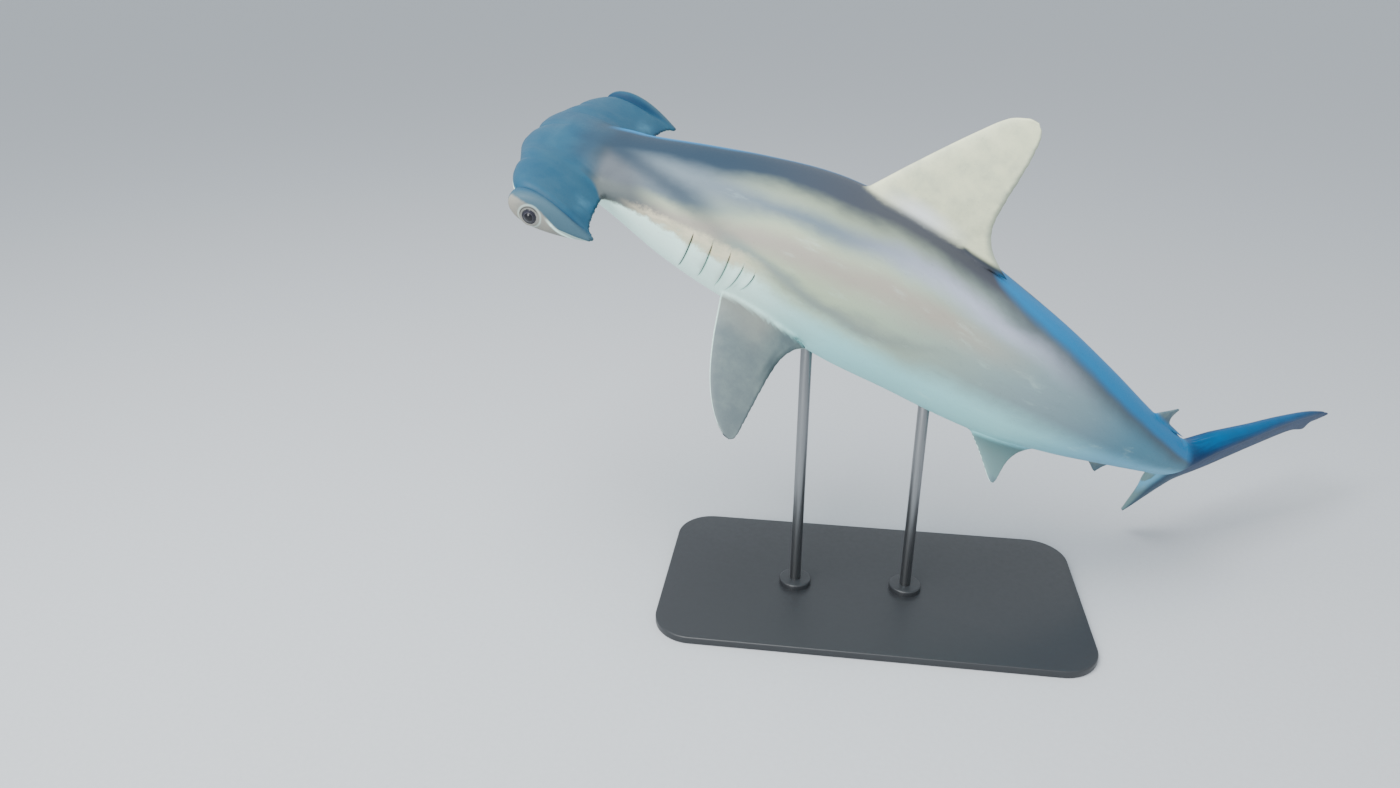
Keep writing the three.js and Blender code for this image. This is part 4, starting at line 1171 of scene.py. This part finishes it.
def fin_tones(m, tone, straight):
    """Colours of the fins, laid over the tone of the trunk by each fin's own mask, with a painted
    highlight and shade on the first dorsal fin and the painted blue rim light on the tail fin.
    """
    chord, span, face = m.mask("chord"), m.mask("span"), m.mask("face")
    broad = m.mottle(straight, 22, 5, 0.65)
    rear = m.scaled(broad, 0.12, chord)

    dorsal = m.tint(m.colour("fin"), "fin_dark", m.step(-0.2, 0.4, broad), 0.5)
    # Painted highlight: a pale band along the first dorsal fin's lower part.
    dorsal = m.tint(dorsal, "fin_base_highlight", m.bell(span, 0.11, 0.09), m.bell(chord, 0.4, 0.4))
    dorsal = m.tint(dorsal, "mauve", m.step(0.06, 0.02, span), 0.8)
    dorsal = m.tint(dorsal, "dusk", m.step(0.9, 0.99, rear), 0.6)
    # Painted shade in the slot under the first dorsal fin's free rear tip.
    dorsal = m.tint(dorsal, "crease_shade_and_dark_edges", m.step(0.08, 0.02, span), m.step(0.66, 0.74, chord))
    tone = m.mix(m.mask("dorsal"), tone, dorsal)

    small = m.tint(m.colour("small_fins"), "fin_dark", m.step(-0.1, 0.3, broad))
    tone = m.mix(m.mask("small"), tone, small)

    blotches = m.step(-0.2, 0.3, broad)
    upper = m.tint(m.colour("pectoral"), "fin_dark", blotches, 0.4)
    upper = m.tint(upper, "tan", m.step(0.35, 0.05, span), m.step(0.85, 0.5, chord), 0.4)
    along_root = m.product(m.step(0.1, 0.3, chord), m.step(0.8, 0.6, chord))
    upper = m.tint(upper, "throat", m.bell(span, 0.035, 0.02), along_root, 0.8)
    upper = m.tint(upper, "crease_shade_and_dark_edges", m.step(0.84, 0.92, rear), m.bell(span, 0.26, 0.2), 0.5)
    upper = m.tint(upper, "throat", m.step(0.02, 0.0, chord), 0.7)
    under = m.tint(m.colour("throat"), "crease_shade_and_dark_edges", m.step(0.78, 0.98, m.scaled(broad, 0.2, span)))
    below = m.step(0.1, -0.1, face)
    tone = m.mix(m.mask("pectoral"), tone, m.mix(below, upper, under))

    pelvic = m.tint(m.colour("pelvic"), "fin_dark", blotches, 0.4)
    pelvic = m.tint(pelvic, "silver_and_sheen", m.step(0.8, 0.95, span), 0.6)
    pelvic = m.tint(pelvic, "throat", below)
    tone = m.mix(m.mask("pelvic"), tone, pelvic)

    blade = m.tint(m.colour("tail"), "tail_dark", m.step(-0.15, 0.25, broad))
    lobe = m.tint(m.colour("pelvic"), "lower_tail", m.step(0.0, 0.35, rear))
    blade = m.mix(m.step(0.46, 0.38, span), blade, lobe)
    # Painted light: the blue rim light along the upper lobe's leading edge.
    top = m.product(m.step(0.44, 0.52, span), m.step(0.98, 0.75, span))
    blade = m.tint(blade, "blue_rim_light", m.step(0.16, 0.0, chord), top, 0.35)
    blade = m.tint(blade, "tail_dark", m.step(0.9, 0.98, rear), 0.6)
    return m.mix(m.mask("tail"), tone, blade)


def skin_material(colours):
    m = Nodes("shark_skin", colours)
    straight = m.mask("straight", "Vector")
    separate = m.tree.nodes.new("ShaderNodeSeparateXYZ")
    m.link(straight, separate.inputs[0])
    along = m.math("MULTIPLY", separate.outputs[0], 1000)
    across = m.math("MULTIPLY", m.math("ABSOLUTE", separate.outputs[1]), 1000)
    turn = m.mask("turn")
    trunk = trunk_tone(m, along, turn, straight)
    hammer = hammer_tone(m, along, across, straight)
    neck = m.scaled(m.mottle(straight, 14, 3), 40, along)
    not_below = m.math("MAXIMUM", m.step(-30, 0, turn), m.step(150, 115, along))
    on_neck = m.product(m.step(205, 160, neck), not_below)
    beyond = m.minus(across, m.table(along, SHOULDER))
    on_wing = m.product(m.step(0, 12, beyond), m.step(300, 280, along))
    tone = m.mix(m.math("MAXIMUM", on_neck, on_wing), trunk, hammer)
    tone = fin_tones(m, tone, straight)
    # Painted shade inside the gill slits and the cuts of the mouth and nostrils.
    tone = m.tint(tone, "slit_shade", m.mask("dark"))
    speckle = m.noise(straight, 260, 4, 0.7)
    tone = m.tint(tone, "slate", m.step(0.58, 0.75, speckle), 0.22)
    scales = m.noise(straight, 900, 3, 0.6)
    m.bump(m.scaled(m.noise(straight, 60, 4), 2.0, scales), 0.16, 0.0012)
    return m.finish(tone, m.scaled(speckle, 0.25, 0.35), specular=0.15)


def eye_material(colours):
    """The eye's pupil, iris and pale ring, by the angle out from its middle."""
    m = Nodes("eye_surface", colours)
    angle = m.mask("angle")
    fine = m.noise(m.object_place(), 500, 4)
    edge = m.scaled(fine, 2, angle)
    tone = m.tint(m.colour("eye"), "iris", m.bell(edge, 27, 3))
    tone = m.tint(tone, "eye_shade", m.step(29, 31, edge))
    tone = m.tint(tone, "ring", m.step(43, 44.5, angle))
    m.bump(fine, 0.05, 0.0002)
    return m.finish(tone, 0.15, specular=0.4)


def plain_material(name, colour, roughness):
    """One colour, a little uneven in tone and gloss."""
    m = Nodes(name)
    fine = m.noise(m.object_place(), 90, 4)
    shade = rgba([part * 0.6 for part in colour])
    tone = m.mix(m.math("MULTIPLY", fine, 0.25), rgba(colour), shade)
    m.bump(m.noise(m.object_place(), 600, 3), 0.05, 0.0005)
    return m.finish(tone, m.scaled(fine, 0.15, roughness - 0.07))


def steel_material(name, colour):
    """Steel brushed along its length."""
    m = Nodes(name)
    grain = m.noise(m.stretch(m.object_place(), (1, 1, 0.02)), 900, 3)
    tone = m.mix(grain, rgba(colour), rgba([part * 0.7 for part in colour]))
    m.bump(grain, 0.08, 0.0003)
    return m.finish(tone, m.scaled(grain, 0.2, 0.25), metallic=1.0)


# Settings

class SharkSizes(bpy.types.PropertyGroup):
    ring_step: bpy.props.FloatProperty(
        name="Ring step", description="Distance between the trunk's rings", default=0.012,
        min=0.006, max=0.04, unit="LENGTH")
    trunk_sides: bpy.props.IntProperty(
        name="Trunk sides", description="Points around the trunk", default=144, min=36, max=200)
    hammer_stations: bpy.props.IntProperty(
        name="Hammer stations", description="Rows over half of the hammer", default=84,
        min=20, max=120)
    hammer_chord: bpy.props.IntProperty(
        name="Hammer chord", description="Points along the hammer's chord", default=48,
        min=12, max=80)
    fin_rows: bpy.props.IntProperty(
        name="Fin rows", description="Rows over a large fin's span", default=60, min=12, max=90)
    fin_chord: bpy.props.IntProperty(
        name="Fin chord", description="Points along a fin's chord", default=26, min=8, max=40)
    tail_rows: bpy.props.IntProperty(
        name="Tail rows", description="Rows over the tail fin", default=110, min=22, max=160)
    gill_depth: bpy.props.FloatProperty(
        name="Gill depth", description="Depth of the gill slits", default=0.0075, min=0.002,
        max=0.012, unit="LENGTH")


def colour(name, description, value):
    return bpy.props.FloatVectorProperty(
        name=name, description=description, subtype="COLOR", default=value, min=0, max=1)


class SharkColours(bpy.types.PropertyGroup):
    # Painted light: a blue rim light along the back and the tail fin's leading edge.
    blue_rim_light: colour("Blue back", "Blue rim of the back, widening to the tail", (0.0, 0.155, 0.36))
    mauve: colour("Mauve", "Brown-grey shade below the blue of the back", (0.050, 0.054, 0.066))
    slate: colour("Slate", "Dark band below the ridge of the back", (0.018, 0.036, 0.058))
    # Rear silver and silver: a pale band of the upper flank, partly its own tone and partly a
    # painted sheen.
    rear_silver_and_sheen: colour("Rear silver", "The same band above the belly", (0.34, 0.375, 0.46))
    silver_and_sheen: colour("Silver", "Pale lavender band of the upper flank", (0.115, 0.155, 0.185))
    flank: colour("Flank", "Flank behind the gills", (0.37, 0.45, 0.305))
    stalk: colour("Stalk", "Flank of the tail's stalk", (0.060, 0.185, 0.262))
    rear_flank: colour("Rear flank", "Flank towards the tail", (0.19, 0.27, 0.295))
    tan: colour("Tan", "Warm band along the middle of the flank", (0.32, 0.30, 0.25))
    dusk: colour("Dusk", "Thin grey-green band under the warm one", (0.22, 0.27, 0.24))
    jaw: colour("Jaw", "Muscle behind the hammer", (0.066, 0.078, 0.092))
    # Crease: painted shade in creases and under the first dorsal fin's free tip, and the dark edges
    # and tips of the pectoral fins.
    crease_shade_and_dark_edges: colour("Crease", "Brown-grey of creases and worn edges", (0.018, 0.030, 0.040))
    # Painted highlight along the throat's upper border.
    border_highlight: colour("Cream", "Light along the throat's upper border", (0.66, 0.60, 0.42))
    throat: colour("Throat", "White of the throat and the fins' undersides", (0.68, 0.95, 0.86))
    rear_belly: colour("Rear belly", "Bluer belly towards the tail", (0.14, 0.40, 0.57))
    belly: colour("Belly", "Pale aqua of the belly", (0.32, 0.68, 0.69))
    head: colour("Head", "Upper face of the hammer", (0.022, 0.078, 0.125))
    head_dark: colour("Head shade", "Darker blue of the hammer", (0.010, 0.058, 0.108))
    # Groove: painted shade in the groove beside the eye.
    groove: colour("Groove", "Dark groove beside the eye", (0.002, 0.026, 0.065))
    sheen: colour("Sheen", "Pale rim and glints of the hammer", (0.05, 0.16, 0.24))
    pod: colour("Eye surround", "Warm grey around the eye", (0.25, 0.24, 0.205))
    pod_top: colour("Above the eye", "Grey-blue above and ahead of the eye", (0.06, 0.105, 0.125))
    fin: colour("First dorsal fin", "Cream grey of the dorsal fins", (0.64, 0.67, 0.45))
    fin_dark: colour("Fin shade", "Darker mottling of the fins", (0.19, 0.24, 0.22))
    small_fins: colour("Small fins", "Second dorsal and anal fins", (0.07, 0.12, 0.15))
    # Fin base: a painted highlight along the first dorsal fin's lower part.
    fin_base_highlight: colour("Fin base", "Pinkish base of the first dorsal fin", (0.62, 0.66, 0.66))
    pectoral: colour("Pectoral fins", "Upper face of the pectoral fins", (0.092, 0.118, 0.127))
    pelvic: colour("Pelvic fins", "Upper face of the pelvic fins", (0.155, 0.25, 0.255))
    tail: colour("Tail fin", "Slate blue of the tail fin", (0.0, 0.030, 0.10))
    lower_tail: colour("Lower tail", "Lower lobe of the tail fin", (0.006, 0.045, 0.09))
    tail_dark: colour("Tail fin shade", "Dark edge of the tail fin", (0.0, 0.018, 0.06))
    # Slits: painted shade inside the gill slits, mouth and nostrils.
    slit_shade: colour("Slits", "Inside of the gill slits, mouth and nostrils", (0.010, 0.013, 0.017))
    eye: colour("Pupil", "Dark of the eye", (0.004, 0.004, 0.007))
    iris: colour("Iris", "Ring around the pupil", (0.05, 0.05, 0.065))
    eye_shade: colour("Iris shade", "Outer part of the iris", (0.014, 0.014, 0.022))
    ring: colour("Eye ring", "Thin pale ring", (0.14, 0.14, 0.16))
    plate: colour("Plate", "Paint of the stand's plate", (0.02, 0.022, 0.025))
    steel: colour("Steel", "Steel of the rods", (0.30, 0.31, 0.32))


class StudioSettings(bpy.types.PropertyGroup):
    floor: bpy.props.FloatVectorProperty(
        name="Floor", description="Pale floor", subtype="COLOR", default=(0.50, 0.52, 0.54))
    key_power: bpy.props.FloatProperty(
        name="Key light", description="Power of the large lamp above", default=345, unit="POWER")
    sky: bpy.props.FloatProperty(
        name="Sky", description="Strength of the even light", default=1.1, min=0, max=3)


# What the skin's colours are told by

def nearest(points, wanted):
    """For each wanted point, the index of the nearest given point and its distance."""
    tree = point_tree(points)
    found = [tree.find(point) for point in wanted]
    return np.array([hit[1] for hit in found]), np.array([hit[2] for hit in found])


def within_solids(co, margin=0.004):
    """Eases the outermost points back inside the box of the solids."""
    for axis in range(3):
        for sign, limit in ((1, SOLIDS_BOX[0][axis]), (-1, SOLIDS_BOX[1][axis])):
            room = sign * (co[:, axis] - limit)
            eased = margin * np.exp(np.minimum(room - margin, 0) / margin)
            co[:, axis] = limit + sign * np.where(room < margin, eased, room)
    return co


def write_attributes(mesh, co, charts, shade_lines):
    """Stores each point's straight place and the masks that the skin's material reads."""
    x, y, z = co.T * 1000
    out, turn, span = trunk_distance(x, y, z), turn_of(x, y, z), np.abs(y)
    values = {"turn": turn, "over": np.where(y < 0, 180 - turn, turn), "height": z}

    top, bottom = head_height(x, y, 1), head_height(x, y, -1)
    thickness = np.maximum(top - bottom, MASKS["least_thickness"])
    values["level"] = np.clip((2 * z - top - bottom) / thickness, -1, 1)
    ahead, above = EYE["x"] - x, z - EYE["z"]
    values["lid"] = np.where(span > MASKS["lid_from"], np.hypot(ahead, above), MASKS["no_lid"])
    # The side of the lid where its painted shadow falls, above and ahead of the eye.
    lean_ahead, lean_up = MASKS["lid_lean"]
    upper = (lean_ahead * ahead + lean_up * above) / np.maximum(values["lid"], 1)
    values["lid_top"] = smoothstep(*MASKS["lid_top"], upper)
    values["rim"] = smoothstep(*MASKS["rim"], x - leading_at(span)) * (x < MASKS["rim_to"])
    # Where the shade in the groove beside each eye is painted.
    along, away = valley_place(x, span)
    values["valley"] = bell(away, *MASKS["valley"]) * smoothstep(*MASKS["valley_fade"], along)
    values["valley"] = values["valley"] * (x < MASKS["valley_to"]) * (z > 0)

    on_fin = smoothstep(*MASKS["fin"], out) * (x > MASKS["fin_from"])
    ahead = lerp(*MASKS["tail"], smoothstep(*MASKS["tail_level"], z))
    on_fin = np.where(x > ahead, smoothstep(0, MASKS["tail_fade"], x - ahead), on_fin)
    chosen = np.flatnonzero(on_fin > 0)
    points = np.concatenate([chart.points for _, chart in charts])
    owner = np.concatenate([[i] * len(chart.points) for i, (_, chart) in enumerate(charts)])
    index, _ = nearest(points, co[chosen])
    kinds = np.array([kind for kind, _ in charts])[owner[index]]
    for kind in FIN_KINDS:
        values[kind] = np.zeros(len(co))
        values[kind][chosen] = on_fin[chosen] * (kinds == kind)
    for name in ("chord", "span", "face"):
        values[name] = np.zeros(len(co))
        values[name][chosen] = np.concatenate([getattr(chart, name) for _, chart in charts])[index]

    # Where a shade is painted inside the gill slits, and near the cuts of the mouth and nostrils.
    low, high = MASKS["gill_stations"]
    beside = (x > low) * (x < high) * (z < MASKS["gill_top"]) * (span > MASKS["gill_span"])
    values["dark"] = smoothstep(*MASKS["gill_depth"], out) * beside
    near_head = np.flatnonzero(x < MASKS["carved_to"])
    index, away = nearest(np.array(shade_lines)[:, :3], co[near_head])
    radius = np.array(shade_lines)[index, 3]
    values["dark"][near_head] = MASKS["carved"] * smoothstep(*MASKS["carved_fade"], away / radius)

    for name, value in values.items():
        store(mesh, name, value)
    store(mesh, "straight", co, "FLOAT_VECTOR", "vector")


# Operators

class SHARK_OT_skin(bpy.types.Operator):
    """Builds the shark's skin as one closed piece"""
    bl_idname = "shark.skin"
    bl_label = "Skin"

    def execute(self, context):
        sizes = context.scene.shark_sizes
        skin = make_trunk(sizes)
        skin.name = skin.data.name = "skin"
        blade, tail_chart = make_tail_blade(sizes)
        merge(skin, blade, *SEAMS["tail"])
        merge(skin, make_hammer(sizes), *SEAMS["hammer"])
        charts = [("tail", tail_chart)]
        rows, chord = sizes.fin_rows, sizes.fin_chord
        for kind, name, fin, place, count, fillet in (
            ("dorsal", "first_dorsal", FIRST_DORSAL, on_midline, rows, 14),
            ("small", "second_dorsal", SECOND_DORSAL, on_midline, rows // 3, 5),
            ("small", "anal", ANAL, on_midline, rows // 3, 5),
            ("pectoral", "pectoral_left", PECTORAL, on_side(PECTORAL, 1), rows, 14),
            ("pectoral", "pectoral_right", PECTORAL, on_side(PECTORAL, -1), rows, 14),
            ("pelvic", "pelvic_left", PELVIC, on_side(PELVIC, 1), rows // 2, 6),
            ("pelvic", "pelvic_right", PELVIC, on_side(PELVIC, -1), rows // 2, 6),
        ):
            part, chart = make_fin(name, fin, place, count, chord, fillet)
            merge(skin, part, fillet * FIN_SEAM[0], FIN_SEAM[1])
            charts.append((kind, chart))
        shade_lines = carve_head(skin)
        mesh = skin.data
        co = coordinates(mesh)
        write_attributes(mesh, co, charts, shade_lines)
        mesh.flip_normals()
        move_points(mesh, within_solids(posed(*(co.T * 1000))))
        choose(skin)
        bpy.ops.object.shade_smooth()
        mesh.materials.clear()
        mesh.materials.append(skin_material(context.scene.shark_colours))
        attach(skin, "root")
        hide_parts(*FLESH_NODES)
        return {"FINISHED"}


class SHARK_OT_eyes(bpy.types.Operator):
    """Builds both eyes"""
    bl_idname = "shark.eyes"
    bl_label = "Eyes"

    def execute(self, context):
        material = eye_material(context.scene.shark_colours)
        for name, side in (("left", 1), ("right", -1)):
            ball = eye_ball("eyeball_" + name, side, EYE["radius"])
            co = coordinates(ball.data) * 1000
            centre = np.array([EYE["x"], EYE["y"] * side, EYE["z"]])
            out = (co - centre) / np.linalg.norm(co - centre, axis=1)[:, None]
            angle = np.degrees(np.arccos(np.clip(out[:, 1] * side, -1, 1)))
            co = co + out * (EYE["cornea"] * smoothstep(EYE["cornea_to"], 0, angle))[:, None]
            store(ball.data, "angle", angle)
            ball.data.flip_normals()
            move_points(ball.data, posed(*co.T))
            choose(ball)
            bpy.ops.object.shade_smooth()
            ball.data.materials.append(material)
            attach(ball, "root")
            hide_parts("eye_" + name)
        return {"FINISHED"}


def open_edges():
    """Opens the chosen piece for work on its edges, with none of them selected."""
    bpy.ops.object.mode_set(mode="EDIT")
    bpy.ops.mesh.select_mode(type="EDGE")
    bpy.ops.mesh.select_all(action="DESELECT")


def bevel_edges(width, steps):
    """Bevels the selected edges and closes the piece again."""
    bpy.ops.mesh.bevel(offset=width / 1000, segments=steps, affect="EDGES")
    bpy.ops.object.mode_set(mode="OBJECT")


def bevel_sharp(size):
    open_edges()
    bpy.ops.mesh.edges_select_sharp(sharpness=SHARP)
    bevel_edges(size["edge"], size["edge_steps"])


def round_bar(name, place, size, low, high):
    """An upright round bar with bevelled ends, from a low to a high level in metres."""
    bpy.ops.object.select_all(action="DESELECT")
    bpy.ops.mesh.primitive_cylinder_add(
        vertices=size["sides"], radius=size["radius"] / 1000, depth=high - low,
        location=(place[0], place[1], (low + high) / 2))
    bar = bpy.context.view_layer.objects.active
    bar.name = bar.data.name = name
    bpy.ops.object.transform_apply(location=True, rotation=True, scale=True)
    bevel_sharp(size)
    return bar


def make_plate(low, high):
    """The stand's flat plate with round corners, on the floor of its solid's box."""
    middle = (low + high) / 2
    length, width, thickness = (PLATE[size] / 1000 for size in ("length", "width", "thickness"))
    bpy.ops.object.select_all(action="DESELECT")
    bpy.ops.mesh.primitive_cube_add(
        size=1, location=(middle[0], middle[1], low[2] + PLATE["thickness"] / 2000))
    plate = bpy.context.view_layer.objects.active
    plate.name = plate.data.name = "plate"
    plate.scale = (length, width, thickness)
    bpy.ops.object.transform_apply(location=True, rotation=True, scale=True)
    open_edges()
    bpy.ops.object.mode_set(mode="OBJECT")
    ends = coordinates(plate.data)
    for edge in plate.data.edges:
        a, b = edge.vertices
        edge.select = bool(abs(ends[a][2] - ends[b][2]) > thickness / 2)
    bpy.ops.object.mode_set(mode="EDIT")
    bevel_edges(PLATE["corner"], PLATE["corner_steps"])
    bevel_sharp(PLATE)
    return plate


class SHARK_OT_stand(bpy.types.Operator):
    """Builds the stand's plate and rods"""
    bl_idname = "shark.stand"
    bl_label = "Stand"

    def execute(self, context):
        colours = context.scene.shark_colours
        low, high = (np.array(corner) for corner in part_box("stand_base"))
        plate = make_plate(low, high)
        top = low[2] + PLATE["thickness"] / 1000
        boss_top = top + BOSS["height"] / 1000
        steel = steel_material("rod_steel", colours.steel)
        for end, station in ROD["stations"].items():
            place = posed(station, 0, 0)
            boss = round_bar("boss", place, BOSS, top - BOSS["sunk"] / 1000, boss_top)
            boolean(plate, boss, "UNION")
            level = float(posed(station, 0, ROD["inside"] - float(belly_at(station)))[2])
            rod = round_bar("rod_" + end, place, ROD, boss_top, level)
            bpy.ops.object.shade_smooth_by_angle(angle=SMOOTH)
            rod.data.materials.append(steel)
            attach(rod, "root")
            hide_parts("stand_rod_" + end)
        choose(plate)
        bpy.ops.object.shade_smooth_by_angle(angle=SMOOTH)
        plate.data.materials.clear()
        plate.data.materials.append(plain_material("plate_paint", colours.plate, PLATE["roughness"]))
        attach(plate, "root")
        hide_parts("stand_base")
        return {"FINISHED"}


class SHARK_OT_studio(bpy.types.Operator):
    """Sets the floor, the light and the camera"""
    bl_idname = "shark.studio"
    bl_label = "Studio"

    def execute(self, context):
        studio = context.scene.shark_studio
        bpy.ops.object.select_all(action="DESELECT")
        bpy.ops.mesh.primitive_plane_add(size=FLOOR["size"], location=(0, 0, 0))
        floor = context.view_layer.objects.active
        floor.name = "floor"
        floor.data.materials.append(plain_material("floor_paper", studio.floor, FLOOR["roughness"]))
        world = bpy.data.worlds.new("studio_world")
        context.scene.world = world
        world.use_nodes = True
        background = world.node_tree.nodes["Background"]
        background.inputs["Color"].default_value = SKY
        background.inputs["Strength"].default_value = studio.sky
        for name, place, size, share in LAMPS:
            light = bpy.data.lights.new(name, "AREA")
            light.size = size
            light.energy = studio.key_power * share
            lamp = bpy.data.objects.new(name, light)
            context.scene.collection.objects.link(lamp)
            lamp.location = place
            lamp.rotation_euler = aim(np.array(LAMP_TARGET) - np.array(place))
        camera = bpy.data.cameras.new("camera")
        camera.sensor_width = CAMERA["sensor"]
        camera.lens = CAMERA["focal"] / CAMERA["width"] * CAMERA["sensor"]
        view = bpy.data.objects.new("camera", camera)
        context.scene.collection.objects.link(view)
        datum = AXIS_PLACE[DATUM_X // AXIS_STEP]
        view.location = datum + np.array(CAMERA["place"])
        azimuth, dip = math.radians(CAMERA["azimuth"]), math.radians(CAMERA["dip"])
        view.rotation_euler = aim(np.array([
            -math.sin(azimuth) * math.cos(dip), math.cos(azimuth) * math.cos(dip), -math.sin(dip)]))
        context.scene.camera = view
        return {"FINISHED"}


def aim(direction):
    """Rotation that looks along a direction with the frame level."""
    return Vector(direction).to_track_quat("-Z", "Y").to_euler()


class SHARK_PT_panel(bpy.types.Panel):
    bl_label = "Hammerhead shark"
    bl_idname = "SHARK_PT_panel"
    bl_space_type = "VIEW_3D"
    bl_region_type = "UI"
    bl_category = "Shark"

    def draw(self, context):
        scene = context.scene
        for group, title in (
            (scene.shark_sizes, "Sizes"), (scene.shark_colours, "Colours"),
            (scene.shark_studio, "Studio"),
        ):
            box = self.layout.box()
            box.label(text=title)
            for name in group.__annotations__:
                box.prop(group, name)
        for operator in OPERATORS:
            self.layout.operator(operator.bl_idname)


GROUPS = (
    (SharkSizes, "shark_sizes"), (SharkColours, "shark_colours"), (StudioSettings, "shark_studio"),
)
OPERATORS = (SHARK_OT_skin, SHARK_OT_eyes, SHARK_OT_stand, SHARK_OT_studio)


def register():
    for group, name in GROUPS:
        bpy.utils.register_class(group)
        setattr(bpy.types.Scene, name, bpy.props.PointerProperty(type=group))
    for operator in OPERATORS:
        bpy.utils.register_class(operator)
    bpy.utils.register_class(SHARK_PT_panel)


def unregister():
    bpy.utils.unregister_class(SHARK_PT_panel)
    for operator in reversed(OPERATORS):
        bpy.utils.unregister_class(operator)
    for group, name in reversed(GROUPS):
        delattr(bpy.types.Scene, name)
        bpy.utils.unregister_class(group)


def main():
    register()
    bpy.ops.shark.skin()
    bpy.ops.shark.eyes()
    bpy.ops.shark.stand()
    bpy.ops.shark.studio()


if __name__ == "__main__":
    main()
